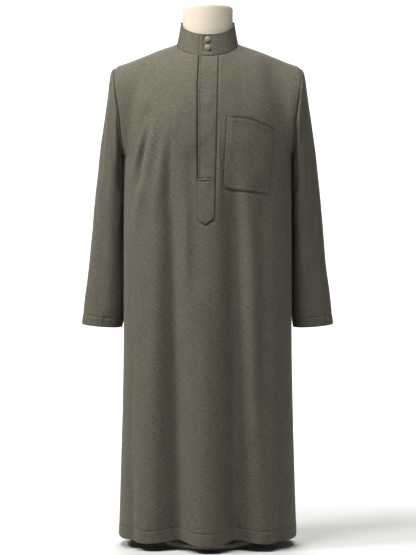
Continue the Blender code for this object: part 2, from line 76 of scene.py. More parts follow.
# Stand collar
COLLAR_TOP_HALF_WIDTH = 0.0695
COLLAR_TOP_SIDE_Z = 1.352
COLLAR_TOP_SIDE_Y = 0.000
COLLAR_TOP_FRONT_DEPTH = 0.062
COLLAR_TOP_BACK_DEPTH = 0.056
COLLAR_TOP_FRONT_DROP = 0.040
COLLAR_TOP_BACK_RISE = 0.012
COLLAR_WALL = 0.0020
COLLAR_STEP = 0.0023
COLLAR_LAP = math.radians(15)
COLLAR_EASE = math.radians(30)
COLLAR_HEIGHT = 0.055
COLLAR_COLUMNS = 190
COLLAR_LEVELS = [0, 0.02, 0.06, 0.14, 0.26, 0.40, 0.54, 0.68, 0.80, 0.89, 0.95, 0.985, 1]

# Snaps, as distances below the collar's top edge. Their dents are placed as if the collar's front
# were as high as SNAP_DENT_SPAN. The profile is a list of (radius, height) points.
SNAP_DROPS = {"collar_snap_upper": 0.0135, "collar_snap_lower": 0.0360}
SNAP_DENT_SPAN = 0.0557
SNAP_SIDES = 40
SNAP_PROFILE = [
    (0.0062, -0.0012), (0.0074, -0.0010), (0.0079, -0.0002), (0.0079, 0.0006), (0.0075, 0.0012),
    (0.0068, 0.0013), (0.0064, 0.0011), (0.0060, 0.0014), (0.0052, 0.0018), (0.0035, 0.0021),
    (0.0015, 0.0022), (0.0004, 0.0022),
]

# Cloth, and the bands turned up at the hem and the cuffs
CLOTH = 0.0010
TURNED_UP_CLOTH = 0.0020
TURN_UP_FADE = 0.004
SEAM_GAP = 0.0003
HEM_BAND = 0.031
CUFF_BAND = 0.030

# Stitches: stations along one, each with its place, its swell and its rise out of the cloth
STITCH_PITCH = 0.0034
STITCH_LENGTH = 0.0026
STITCH_SIDES = 5
STITCH_STATIONS = [(-0.5, 0.5, -0.9), (-0.3, 0.95, 0.15), (0.0, 1.0, 0.45), (0.3, 0.95, 0.15),
                   (0.5, 0.5, -0.9)]
THREAD_RADIUS = 0.00030
PLACKET_THREAD_LIFT = 0.0019
POCKET_THREAD_LIFT = 0.0018
SEWN_LINE_STEP = 0.004
SEWN_LINE_POINTS = 12

# How much of an edge's standing off its inner side follows
INNER_FOLLOWS = 0.9

# Relief that sewing and pressing leave: its height (a groove where negative), its half width, and
# how far its middle lies from the line that it follows
Relief = namedtuple("Relief", "height width offset", defaults=[0.0])
SEAM_ROLL = Relief(-0.0013, 0.0030)
SEAM_ALLOWANCE = Relief(0.0004, 0.0042, 0.0090)
NECK_ROLL_SHARE = 0.5
HEM_LAYER = Relief(0.0004, 0.0025)
HEM_EDGE = Relief(-0.0006, 0.0015)
HEM_GROOVE = Relief(-0.0014, 0.0020)
FLY_SLIT = Relief(-0.0050, 0.0020)
FLY_SLIT_FOOT = Relief(-0.0010, 0.0020)
FLY_SLIT_INSET = 0.0012
FLY_SLIT_FADE = 0.020
SEWN_GROOVE = Relief(-0.0026, 0.0017)
SEWN_RIDGE = Relief(0.0006, 0.0034, 0.0070)
SEWN_GROOVE_OUTSET = 0.0010
SEWN_RIDGE_MIN_X = 0.020
FOOT_GROOVE = Relief(-0.0024, 0.0030)
TACK_GROOVE = Relief(-0.0022, 0.0016)
TACK_RIDGE = Relief(0.0014, 0.0018)
POCKET_GROOVE = Relief(-0.0019, 0.0034)
POCKET_GROOVE_END_X = 0.105
POCKET_GROOVE_FADE = 0.035
POCKET_MOUTH = Relief(0.0036, 0.016)
POCKET_LIP = Relief(0.0016, 0.0028)
POCKET_LIP_GROOVE = Relief(-0.0008, 0.0030, 0.0075)
COLLAR_TOP_PUFF = Relief(0.0005, 0.006, COLLAR_HEIGHT)
COLLAR_BASE_PUFF = Relief(0.0004, 0.006)
COLLAR_END_PUFF = Relief(0.0013, 0.005)
SNAP_DENT = Relief(-0.0010, 0.0085)
SNAP_RING = Relief(-0.0036, 0.0017, 0.0094)
# The groove in the collar's under layer beside the edge of the lapping end; its width and its place
# are angles
UNDER_LAP_GROOVE = Relief(-0.0030, 0.020, -0.030)

# Unevenness of cloth: the height of its bumps, their (x, y, z) size and the seed
Bumps = namedtuple("Bumps", "height size seed")
SEED_STEP = (17.3, 5.1, 11.7)
BODY_SWAY = Bumps(0.0016, (0.060, 0.060, 0.200), 1)
BODY_RIPPLE = Bumps(0.0006, (0.022, 0.022, 0.070), 5)
SLEEVE_SWAY = Bumps(0.0016, (0.045, 0.045, 0.150), 30)
SLEEVE_RIPPLE = Bumps(0.0006, (0.020, 0.020, 0.050), 33)
ARMHOLE_PUCKER = Bumps(0.0009, (0.050, 0.050, 0.011), 9)
ARMHOLE_PUCKER_REACH = 0.012
COLLAR_WAVE = Bumps(0.0007, (0.035, 0.060, 1.0), 51)
PLACKET_WAVE = Bumps(0.0020, (0.030, 1.0, 0.034), 61)
POCKET_SLACK = Bumps(0.0022, (0.045, 1.0, 0.060), 71)

# The hem's pucker: fine bumps that come and go along the band, strongest near its stitched line
HEM_PUCKER = Bumps(0.0070, (0.008, 0.060, 1.0), 20)
CUFF_PUCKER = HEM_PUCKER._replace(seed=40)
PUCKER_PATCHES = (0.055, 0.200, 1.0)
PUCKER_PATCH_SEED = 3
PUCKER_MIDDLE = 0.80
PUCKER_SPREAD = 0.55

Face = namedtuple("Face", "name facing neck_depth neck_lift neck_slope armhole_depth")
FRONT = Face("front", -1, NECK_FRONT_DEPTH, -NECK_FRONT_DROP, math.radians(52), 0.058)
BACK = Face("back", 1, NECK_BACK_DEPTH, NECK_BACK_RISE, math.radians(64), 0.064)

# Stretches of a grid from start to end with an even step, finest where an edge or a seam lies
Zone = namedtuple("Zone", "start end step")
FRONT_COLUMNS = [
    Zone(-1.000, -0.985, 0.0050),
    Zone(-0.985, -NECK_SHARE, 0.0125),
    Zone(-NECK_SHARE, -0.106, 0.0115),
    Zone(-0.106, -0.056, 0.0042),
    Zone(-0.056, 0.050, 0.0115),
    Zone(0.050, 0.106, 0.0045),
    Zone(0.106, 0.136, 0.0100),
    Zone(0.136, 0.192, 0.0050),
    Zone(0.192, NECK_SHARE, 0.0115),
    Zone(NECK_SHARE, 0.985, 0.0125),
    Zone(0.985, 1.000, 0.0050),
]
BACK_COLUMNS = [
    Zone(-1.000, -0.985, 0.0050),
    Zone(-0.985, -NECK_SHARE, 0.0140),
    Zone(-NECK_SHARE, NECK_SHARE, 0.0160),
    Zone(NECK_SHARE, 0.985, 0.0140),
    Zone(0.985, 1.000, 0.0050),
]
SKIRT_LEVELS = [
    Zone(HEM_FRONT_Z, HEM_FRONT_Z + 0.004, 0.0010),
    Zone(HEM_FRONT_Z + 0.004, HEM_FRONT_Z + 0.026, 0.0030),
    Zone(HEM_FRONT_Z + 0.026, HEM_FRONT_Z + 0.036, 0.0014),
    Zone(HEM_FRONT_Z + 0.036, HEM_FRONT_Z + 0.054, 0.0040),
    Zone(HEM_FRONT_Z + 0.054, UNDERARM_Z, 0.0066),
]
CHEST_LEVELS = [Zone(0.0, 0.9, 0.0165), Zone(0.9, 1.0, 0.0085)]
SLEEVE_LEVELS = [
    Zone(0.000, 0.040, 0.0030),
    Zone(0.040, 0.930, 0.0075),
    Zone(0.930, 0.948, 0.0060),
    Zone(0.948, 0.966, 0.0020),
    Zone(0.966, 0.993, 0.0060),
    Zone(0.993, 1.000, 0.0015),
]

# Plain sections of the body: half width at the side seams, and depth before and behind them
Section = namedtuple("Section", "z half_width front back squareness")
BODY_SECTIONS = [
    Section(0.000, 0.2300, 0.176, 0.174, 2.15),
    Section(0.150, 0.2255, 0.168, 0.165, 2.15),
    Section(0.320, 0.2210, 0.158, 0.153, 2.20),
    Section(0.500, 0.2175, 0.148, 0.143, 2.25),
    Section(0.700, 0.2171, 0.138, 0.134, 2.30),
    Section(0.860, 0.2171, 0.130, 0.128, 2.30),
    Section(1.000, 0.2171, 0.125, 0.122, 2.30),
]

# Hanging folds of the body. Turns run from the centre line (0) to a side seam (1 or -1), +X
# positive; a positive depth sinks into the body, and spreads are half widths in turns. Each fold
# fades in and out over a share of its own height, and near the side seams and the shoulders.
FOLD_FADE = 0.18
FOLDS_CALM_TURN = 0.86
FOLDS_END_Z = 1.12
FOLDS_END_FADE = 0.08
Fold = namedtuple("Fold", "face turn_top turn_low z_top z_low spread_top spread_low depth_top depth_low")
BODY_FOLDS = [
    Fold("front", -0.250, -0.241, 1.04, -0.40, 0.055, 0.170, 0.010, 0.076),
    Fold("front", 0.148, 0.255, 1.05, -0.40, 0.055, 0.155, 0.009, 0.074),
    Fold("front", -0.09, -0.060, 1.04, 0.62, 0.050, 0.050, 0.004, 0.004),
    Fold("front", 0.40, 0.460, 0.98, 0.20, 0.070, 0.080, 0.006, 0.006),
    Fold("front", -0.48, -0.560, 1.14, 0.90, 0.060, 0.060, 0.006, 0.006),
    Fold("front", -0.66, -0.640, 0.55, -0.40, 0.060, 0.080, 0.002, 0.020),
    Fold("front", 0.62, 0.600, 0.55, -0.40, 0.060, 0.080, 0.002, 0.020),
    Fold("back", -0.42, -0.400, 1.06, -0.40, 0.070, 0.165, 0.008, 0.064),
    Fold("back", 0.02, 0.060, 0.98, -0.40, 0.065, 0.150, 0.006, 0.056),
    Fold("back", 0.47, 0.500, 1.02, -0.40, 0.070, 0.155, 0.008, 0.060),
    Fold("back", 0.22, 0.240, 1.12, 0.66, 0.060, 0.060, 0.004, 0.004),
]

# Soft creases, as lines seen from the front. Heights stand out (or sink, where negative), a bow
# bends the line sideways, and a lean makes one flank steeper than the other.
CREASE_FADE = 0.45
Crease = namedtuple("Crease", "face x_top z_top x_low z_low bow width height lean")
CREASES = [
    Crease("front", -0.150, 1.120, -0.196, 0.905, -0.004, 0.0070, 0.0048, -0.3),
    Crease("front", -0.124, 1.115, -0.190, 0.760, -0.008, 0.0085, 0.0056, -0.3),
    Crease("front", -0.100, 1.105, -0.142, 0.790, -0.002, 0.0095, 0.0046, -0.2),
    Crease("front", -0.140, 1.105, -0.182, 0.920, -0.003, 0.0055, -0.0032, 0.2),
    Crease("front", -0.092, 1.075, -0.106, 0.810, 0.001, 0.0090, -0.0040, 0.1),
    Crease("front", 0.030, 1.090, 0.034, 0.800, -0.001, 0.0060, 0.0018, 0.3),
    Crease("front", 0.042, 1.070, 0.044, 0.760, 0.001, 0.0070, -0.0014, 0.0),
    Crease("front", 0.192, 0.805, 0.209, 0.705, 0.002, 0.0040, 0.0030, 0.2),
    Crease("front", 0.188, 1.050, 0.203, 0.950, 0.002, 0.0050, 0.0034, -0.2),
    Crease("front", 0.156, 0.510, 0.193, 0.330, 0.003, 0.0040, 0.0036, 0.3),
    Crease("front", 0.210, 0.400, 0.193, 0.280, 0.000, 0.0038, 0.0036, -0.3),
    Crease("front", 0.212, 0.290, 0.195, 0.180, 0.001, 0.0038, 0.0036, -0.2),
    Crease("front", 0.182, 0.160, 0.168, 0.045, 0.000, 0.0040, 0.0032, -0.2),
    Crease("front", 0.217, 0.155, 0.198, 0.050, 0.001, 0.0040, 0.0034, -0.2),
    Crease("front", -0.176, 0.500, -0.190, 0.110, -0.005, 0.0050, 0.0032, 0.3),
    Crease("front", -0.199, 0.700, -0.205, 0.520, -0.002, 0.0045, 0.0028, 0.2),
    Crease("front", -0.060, 0.930, -0.061, 0.600, 0.003, 0.0150, 0.0030, 0.2),
    Crease("front", 0.112, 0.860, 0.114, 0.350, 0.004, 0.0200, 0.0030, -0.1),
    Crease("front", -0.008, 0.780, -0.008, 0.080, 0.003, 0.0180, 0.0028, 0.1),
    Crease("back", -0.150, 1.110, -0.186, 0.900, -0.004, 0.0080, 0.0030, 0.3),
    Crease("back", -0.120, 1.080, -0.150, 0.850, -0.003, 0.0090, 0.0026, 0.2),
    Crease("back", 0.146, 1.100, 0.184, 0.880, 0.005, 0.0080, 0.0030, -0.3),
    Crease("back", 0.112, 1.070, 0.134, 0.860, 0.003, 0.0090, 0.0024, -0.2),
    Crease("back", 0.190, 0.560, 0.205, 0.380, 0.003, 0.0045, 0.0016, 0.2),
    Crease("back", -0.186, 0.480, -0.200, 0.250, -0.003, 0.0050, 0.0018, -0.2),
    Crease("back", 0.060, 0.900, 0.066, 0.300, 0.004, 0.0180, 0.0030, 0.1),
    Crease("back", -0.070, 0.860, -0.062, 0.260, -0.004, 0.0180, 0.0028, -0.1),
]

# Sleeve rings from the armhole (0) to the cuff (1), as the outer and the inner point of each
Ring = namedtuple("Ring", "along outer_x outer_z inner_x inner_z middle_y half_depth")
SLEEVE_SECTIONS = [
    Ring(0.00, 0.2375, 1.2360, 0.2171, 1.0000, -0.001, 0.061),
    Ring(0.07, 0.2475, 1.2225, 0.2202, 0.9980, 0.001, 0.066),
    Ring(0.20, 0.2602, 1.1500, 0.2168, 0.9650, 0.013, 0.072),
    Ring(0.36, 0.2768, 1.0380, 0.2148, 0.9100, 0.025, 0.077),
    Ring(0.55, 0.2938, 0.8905, 0.2150, 0.8150, 0.034, 0.074),
    Ring(0.74, 0.3090, 0.7250, 0.2145, 0.6920, 0.032, 0.064),
    Ring(0.90, 0.3200, 0.6280, 0.2170, 0.6110, 0.027, 0.055),
    Ring(1.00, 0.3262, 0.5690, 0.2245, 0.5610, 0.025, 0.050),
]
SLEEVE_SQUARENESS = 2.15
SLEEVE_HEAD = 1 / 15
SLEEVE_CALM_HEAD = 0.05
SLEEVE_LENGTH = 0.67
CUFF_FRONT_DROP = 0.004

# Folds of a sleeve: angles run from its inner line (0) over the front (90) to its outer line (180),
# and spreads are half widths in degrees.
SLEEVE_FOLD_FADE = 0.2
SleeveFold = namedtuple("SleeveFold", "side angle_top angle_low along_top along_low spread depth")
SLEEVE_FOLDS = [
    SleeveFold("both", 62, 50, 0.02, 0.46, 16, 0.0090),
    SleeveFold("both", 118, 100, 0.30, 0.98, 22, 0.0050),
    SleeveFold("both", 250, 262, 0.10, 0.75, 24, 0.0055),
    SleeveFold("right", 90, 74, 0.03, 0.34, 7, -0.0034),
    SleeveFold("right", 128, 116, 0.10, 0.52, 8, -0.0032),
    SleeveFold("right", 46, 60, 0.30, 0.62, 9, -0.0018),
    SleeveFold("left", 86, 70, 0.03, 0.36, 7, -0.0036),
    SleeveFold("left", 132, 108, 0.12, 0.60, 8, -0.0030),
    SleeveFold("left", 60, 72, 0.46, 0.78, 9, -0.0016),
    SleeveFold("right", 224, 236, 0.08, 0.40, 9, -0.0024),
    SleeveFold("left", 232, 222, 0.10, 0.45, 9, -0.0022),
    SleeveFold("right", 300, 288, 0.20, 0.60, 10, -0.0020),
    SleeveFold("left", 296, 306, 0.24, 0.66, 10, -0.0020),
]

# Placket: its two long edges from the collar down to its pointed foot
PLACKET_TOP_Z = 1.2545
FLY_EDGE = [(1.2545, -0.0202), (1.170, -0.0243), (0.8340, -0.0230)]
SEWN_EDGE = [(1.2545, 0.0263), (0.8367, 0.0158)]
PLACKET_FOOT = [(0.0, 0.8340), (0.46, 0.8216), (1.0, 0.8367)]
TACK_BAR_Z = 0.9345
TACK_BAR_SPACING = 0.0060
TACK_BAR_SHARE = 0.80
PLACKET_WIDTH = 0.046
PLACKET_LENGTH = 0.42
PLACKET_LAYERS = 0.0019
PLACKET_EDGE = 0.0022
PLACKET_THIN_SIDE = 0.55
PLACKET_THIN_FOOT = 0.60
PLACKET_STAND_OFF = 0.0022
PLACKET_STAND_SHARE = 0.16
PLACKET_STAND_START = 0.004
PLACKET_STAND_FADE = 0.020
PLACKET_CALM_OPEN_SHARE = 0.15
PLACKET_CALM_SEWN_SHARE = 0.20
PLACKET_LOWEST_WAVE = -0.0006
TACK_BAR_FADE = 0.04
PLACKET_ACROSS = [Zone(0.00, 0.09, 0.018), Zone(0.09, 0.91, 0.041), Zone(0.91, 1.00, 0.018)]
TACK_BAR_DOWN = (PLACKET_TOP_Z - TACK_BAR_Z) / (PLACKET_TOP_Z - PLACKET_FOOT[0][1])
TACK_BAR_REACH = 0.025
PLACKET_DOWN = [
    Zone(0.0, TACK_BAR_DOWN - TACK_BAR_REACH, 0.0085),
    Zone(TACK_BAR_DOWN - TACK_BAR_REACH, TACK_BAR_DOWN + TACK_BAR_REACH, 0.0031),
    Zone(TACK_BAR_DOWN + TACK_BAR_REACH, 0.965, 0.0085),
    Zone(0.965, 1.0, 0.0035),
]

# Chest pocket: edges as shares across it from the placket's side, in real heights
POCKET_NEAR_EDGE = [(1.0985, 0.0507), (0.9140, 0.0392)]
POCKET_FAR_EDGE = [(1.0680, 0.1700), (0.9010, 0.1590)]
POCKET_TOP = [(0.0, 1.0985), (0.25, 1.0975), (0.51, 1.0925), (1.0, 1.0680)]
POCKET_BOTTOM = [(0.0, 0.9140), (1.0, 0.8990)]
POCKET_CORNER = 0.11
POCKET_CORNER_RISE = 0.0125
POCKET_HEM = 0.020
POCKET_HEM_GROOVE = Relief(-0.0005, 0.0018, POCKET_HEM)
POCKET_WIDTH = 0.12
POCKET_HEIGHT = 0.18
POCKET_LAYER = 0.0015
POCKET_EDGE = 0.0028
POCKET_THIN_EDGE = 0.45
POCKET_FAR_THINNING = 0.65
POCKET_FAR_START = 0.82
POCKET_MOUTH_FULLNESS = 0.7
POCKET_CALM_SIDE = 0.020
POCKET_LOWEST_SLACK = -0.0004
POCKET_ACROSS = [Zone(0.00, 0.05, 0.010), Zone(0.05, 0.95, 0.022), Zone(0.95, 1.00, 0.010)]
POCKET_UP = [Zone(0.00, 0.05, 0.010), Zone(0.05, 0.92, 0.022), Zone(0.92, 1.00, 0.008)]

# Sections of the dress form, from its underside to the flat top of the neck
FormSection = namedtuple("FormSection", "z half_width front back squareness")
FORM_SECTIONS = [
    FormSection(0.620, 0.138, 0.098, 0.078, 2.3),
    FormSection(0.632, 0.150, 0.108, 0.086, 2.3),
    FormSection(0.700, 0.166, 0.122, 0.097, 2.3),
    FormSection(0.800, 0.160, 0.115, 0.088, 2.3),
    FormSection(0.890, 0.156, 0.111, 0.084, 2.3),
    FormSection(1.000, 0.172, 0.119, 0.091, 2.3),
    FormSection(1.080, 0.184, 0.119, 0.090, 2.3),
    FormSection(1.140, 0.190, 0.108, 0.083, 2.3),
    FormSection(1.190, 0.188, 0.086, 0.070, 2.3),
    FormSection(1.220, 0.174, 0.068, 0.058, 2.3),
    FormSection(1.245, 0.138, 0.053, 0.050, 2.2),
    FormSection(1.265, 0.098, 0.049, 0.048, 2.1),
    FormSection(1.282, 0.074, 0.049, 0.049, 2.0),
    FormSection(1.300, 0.067, 0.052, 0.050, 2.0),
    FormSection(1.330, 0.0655, 0.053, 0.050, 2.0),
    FormSection(1.393, 0.0655, 0.053, 0.050, 2.0),
]
FORM_SIDES = 96
FORM_RING_STEP = 0.008
NECK_CAP_ROUNDING = 0.009
NECK_CAP_STEPS = 6
FORM_FOOT_SHRINKS = [0.55, 0.9, 0.985]
NECK_TOP_SHRINKS = [0.7, 0.4, 0.1]


def smooth(value):
    """Ease from 0 to 1 with flat ends."""
    value = np.clip(value, 0.0, 1.0)
    return value * value * (3 - 2 * value)


def mix(first, second, share):
    return first + (second - first) * share


def bell(distance, width):
    return np.exp(-(distance / width) ** 2)


def read(table, column, at):
    """A column of a table on a smooth curve through its rows, at values of its first column."""
    places = np.array([row[0] for row in table])
    values = np.array([getattr(row, column) for row in table])
    slopes = np.gradient(values, places)
    at = np.clip(at, places[0], places[-1])
    low = np.clip(np.searchsorted(places, at, side="right") - 1, 0, len(places) - 2)
    step = places[low + 1] - places[low]
    t = (at - places[low]) / step
    return (values[low] * (1 + 2 * t) * (1 - t) ** 2 + values[low + 1] * t * t * (3 - 2 * t)
            + step * (slopes[low] * t * (1 - t) ** 2 - slopes[low + 1] * t * t * (1 - t)))


def straight(points, at):
    """A line through (place, value) points, in either order of places."""
    places, values = np.array(sorted(points)).T
    return np.interp(at, places, values)


def spaced(zones):
    """Places along all zones, evenly spaced inside each."""
    places = [np.array([zones[0].start])]
    for zone in zones:
        count = max(1, round((zone.end - zone.start) / zone.step))
        places.append(np.linspace(zone.start, zone.end, count + 1)[1:])
    return np.concatenate(places)


def unit(vectors):
    return vectors / np.maximum(np.linalg.norm(vectors, axis=-1, keepdims=True), 1e-12)


def ridge(distance, relief):
    """A ridge, or a groove, that runs at the relief's offset from a line."""
    return relief.height * bell(distance - relief.offset, relief.width)


def ledge(distance, relief):
    """A step that lasts from a line to the relief's width beyond it."""
    return relief.height * (1 - smooth(distance / relief.width))


def cloud(points, size, seed):
    """Smooth noise between about -1 and 1, with bumps of the given (x, y, z) sizes."""
    shift = Vector([seed * step for step in SEED_STEP])
    places = (points / np.array(size)).reshape(-1, 3)
    values = [noise.noise(Vector(place) + shift) for place in places]
    return np.array(values).reshape(points.shape[:-1])


def uneven(points, bumps, piece=0):
    """How far bumps stand out at the points; pieces that share them take a seed each."""
    return bumps.height * cloud(points, bumps.size, bumps.seed + piece)


def grid_normals(points, facing):
    """Unit normals of a grid of points, rows going up and columns going to +X."""
    across = np.gradient(points, axis=1)
    up = np.gradient(points, axis=0)
    return unit(np.cross(across, up)) * -facing


def reach(points, axis):
    """Distance along a grid's lines from their first point."""
    steps = np.linalg.norm(np.diff(points, axis=axis), axis=-1)
    total = np.cumsum(steps, axis=axis)
    return np.insert(total, 0, 0.0, axis=axis)


def section_point(turn, z, face):
    """A point of the body's plain section, at a turn from the centre line and a height."""
    angle = turn * math.pi / 2
    power = 2 / read(BODY_SECTIONS, "squareness", z)
    half_width = read(BODY_SECTIONS, "half_width", z)
    depth = read(BODY_SECTIONS, face.name, z)
    x = half_width * np.sign(turn) * np.abs(np.sin(angle)) ** power
    y = SIDE_SEAM_Y + face.facing * depth * np.abs(np.cos(angle)) ** power
    return np.stack([x, y, z], axis=-1)


def neck_point(angle, facing, depth, lift):
    """A point of the neckline, from the centre line (0) to the side of the neck (a right angle)."""
    x = NECK_HALF_WIDTH * np.sin(angle)
    y = NECK_SIDE_Y + facing * depth * np.cos(angle)
    z = NECK_SIDE_Z + lift * np.cos(angle)
    return np.stack([x, y, z], axis=-1)


def top_edge(across, face):
    """The panel's top edge: the neckline in its middle and a shoulder seam at each side."""
    side = np.abs(across)
    neck = neck_point(np.minimum(side / NECK_SHARE, 1) * math.pi / 2, face.facing, face.neck_depth,
                      face.neck_lift)
    along = np.clip((side - NECK_SHARE) / (1 - NECK_SHARE), 0, 1)
    shoulder = np.stack([mix(NECK_HALF_WIDTH, SHOULDER_HALF_WIDTH, along),
                         mix(NECK_SIDE_Y, SHOULDER_SEAM_Y, along),
                         mix(NECK_SIDE_Z, SHOULDER_Z, along)], axis=-1)
    edge = np.where((side > NECK_SHARE)[..., None], shoulder, neck)
    edge[..., 0] *= np.where(across < 0, -1, 1)
    return edge


def chest_point(across, up, face):
    """A point above the underarm: up runs from 0 there to 1 at the shoulder seam or neckline."""
    side = np.abs(across)
    turn = np.sign(across) * side ** COLUMN_CROWDING
    base = section_point(turn, np.full_like(turn, UNDERARM_Z), face)
    top = top_edge(across, face)
    near_armhole = smooth((side - ARMHOLE_BLEND_START) / (1 - ARMHOLE_BLEND_START))
    bend = mix(face.neck_slope, SHOULDER_ROUNDING, smooth(side / SHOULDER_ROUNDING_SHARE))
    rise = mix(np.sin(up * bend) / np.sin(bend), (1 - np.cos(math.pi * up)) / 2, near_armhole)
    lean = mix((1 - np.cos(up * bend)) / (1 - np.cos(bend)), up, near_armhole)
    x = mix(base[..., 0], top[..., 0], mix(up ** CHEST_WIDENING, rise, near_armhole))
    outward = ARMHOLE_OUTWARD_CURVE * np.sin(math.pi * rise ** ARMHOLE_CURVE_LIFT)
    x += np.sign(across) * near_armhole * outward
    y = mix(base[..., 1], top[..., 1], lean)
    y += face.facing * near_armhole * face.armhole_depth * np.sin(math.pi * up)
    z = mix(base[..., 2], top[..., 2], rise)
    return np.stack([x, y, z], axis=-1)


def fold_depth(turn, z, face):
    """How far the hanging folds sink the cloth at a turn and a height."""
    total = np.zeros_like(turn)
    for fold in BODY_FOLDS:
        if fold.face != face.name:
            continue
        share = (fold.z_top - z) / (fold.z_top - fold.z_low)
        fade = smooth(share / FOLD_FADE) * smooth((1 - share) / FOLD_FADE)
        middle = mix(fold.turn_top, fold.turn_low, share)
        spread = mix(fold.spread_top, fold.spread_low, share)
        depth = mix(fold.depth_top, fold.depth_low, np.clip(share, 0, 1))
        total += fade * depth * bell(turn - middle, spread)
    return total


def crease_height(points, face):
    """How far the soft creases stand out, from the points' places as seen from the front."""
    x, z = points[..., 0], points[..., 2]
    total = np.zeros_like(x)
    for crease in CREASES:
        if crease.face != face.name:
            continue
        share = (crease.z_top - z) / (crease.z_top - crease.z_low)
        line = mix(crease.x_top, crease.x_low, share) + 4 * crease.bow * share * (1 - share)
        aside = x - line
        aside = aside * (1 + crease.lean * np.sign(aside))
        fade = smooth(share / CREASE_FADE) * smooth((1 - share) / CREASE_FADE)
        total += fade * crease.height * bell(aside, crease.width)
    return total


# A wall's fine grid: plain points, points with folds and creases, finished outer points, normals
Panel = namedtuple("Panel", "face plain soft outer normals")


def soft_panel(face, zones):
    """The panel's plain grid, and the same grid with its folds, creases and slight unevenness."""
    across = spaced(zones)
    turn = np.sign(across) * np.abs(across) ** COLUMN_CROWDING
    rows = []
    for level in spaced(SKIRT_LEVELS)[:-1]:
        z = np.full_like(turn, level)
        lift = HEM_SIDE_RISE * turn ** 2 + HEM_FOLD_LIFT * fold_depth(turn, z, face)
        z = z + lift * (1 - smooth((level - HEM_FRONT_Z) / HEM_LIFT_REACH))
        rows.append(section_point(turn, z, face))
    for up in spaced(CHEST_LEVELS):
        rows.append(chest_point(across, np.full_like(across, up), face))
    plain = np.array(rows)
    depth = fold_depth(np.broadcast_to(turn, plain.shape[:2]), plain[..., 2], face)
    calm_edges = 1 - smooth((np.abs(turn) - FOLDS_CALM_TURN) / (1 - FOLDS_CALM_TURN))
    depth = depth * calm_edges * (1 - smooth((plain[..., 2] - FOLDS_END_Z) / FOLDS_END_FADE))
    folded = plain - grid_normals(plain, face.facing) * depth[..., None]
    bumps = uneven(plain, BODY_SWAY, face.facing) + uneven(plain, BODY_RIPPLE, face.facing)
    relief = (crease_height(plain, face) + bumps) * calm_edges
    return plain, folded + grid_normals(folded, face.facing) * relief[..., None]


def edge_roll(distance):
    """The cloth rolls inwards beside a seam, behind a low ridge made by the seam allowance."""
    return ledge(distance, SEAM_ROLL) + ridge(distance, SEAM_ALLOWANCE)


def hem_relief(height, along, band, pucker, piece):
    """A turned-up band: its two layers stand out, its stitched line sinks and puckers beside it."""
    places = np.stack([along, height, np.zeros_like(along)], axis=-1)
    patches = cloud(places, PUCKER_PATCHES, pucker.seed + piece + PUCKER_PATCH_SEED)
    puckered = uneven(places, pucker, piece) * patches
    puckered *= bell(height - PUCKER_MIDDLE * band, PUCKER_SPREAD * band)
    above_line = height - band
    return ledge(above_line, HEM_LAYER) + ridge(above_line, HEM_GROOVE) + puckered + ledge(height, HEM_EDGE)


def line_distance(x, z, line):
    """Distance of points seen from the front from a line of (x, z) corners."""
    best = np.full_like(x, np.inf)
    for (x0, z0), (x1, z1) in zip(line, line[1:]):
        length = (x1 - x0) ** 2 + (z1 - z0) ** 2
        share = np.clip(((x - x0) * (x1 - x0) + (z - z0) * (z1 - z0)) / length, 0, 1)
        best = np.minimum(best, np.hypot(x - mix(x0, x1, share), z - mix(z0, z1, share)))
    return best


def flipped(points):
    return [(value, place) for place, value in points]


def placket_foot_line():
    """The placket's pointed foot, as (x, z) corners."""
    corners = []
    for share, z in PLACKET_FOOT:
        corners.append((mix(straight(FLY_EDGE, z), straight(SEWN_EDGE, z), share), z))
    return corners


def pocket_line():
    """The pocket's sewn edge, from its top corner by the placket round to its far top corner."""
    low_shares = (0.0, POCKET_CORNER / 3, POCKET_CORNER, 0.5, 1 - POCKET_CORNER, 1.0)
    low_edge = [pocket_place(share, 0.0) for share in low_shares]
    return [pocket_place(0.0, 1.0)] + low_edge + [pocket_place(1.0, 1.0)]


def front_relief(plain):
    """Where the fly and the sewn-on pieces pull the front panel in."""
    x, z = plain[..., 0], plain[..., 2]
    slit_line = [(edge - FLY_SLIT_INSET, height) for edge, height in flipped(FLY_EDGE)]
    from_slit = line_distance(x, z, slit_line)
    above_bar = smooth((z - TACK_BAR_Z) / FLY_SLIT_FADE + 0.5)
    sewn_line = [(edge + SEWN_GROOVE_OUTSET, height) for edge, height in flipped(SEWN_EDGE)]
    from_sewn = line_distance(x, z, sewn_line)
    far_side = smooth((x - POCKET_GROOVE_END_X) / POCKET_GROOVE_FADE)
    relief = ridge(from_slit, FLY_SLIT) * above_bar + ridge(from_slit, FLY_SLIT_FOOT)
    relief += ridge(from_sewn, SEWN_GROOVE) + ridge(from_sewn, SEWN_RIDGE) * (x > SEWN_RIDGE_MIN_X)
    relief += ridge(line_distance(x, z, placket_foot_line()), FOOT_GROOVE)
    relief += ridge(line_distance(x, z, pocket_line()), POCKET_GROOVE) * (1 - far_side)
    return relief


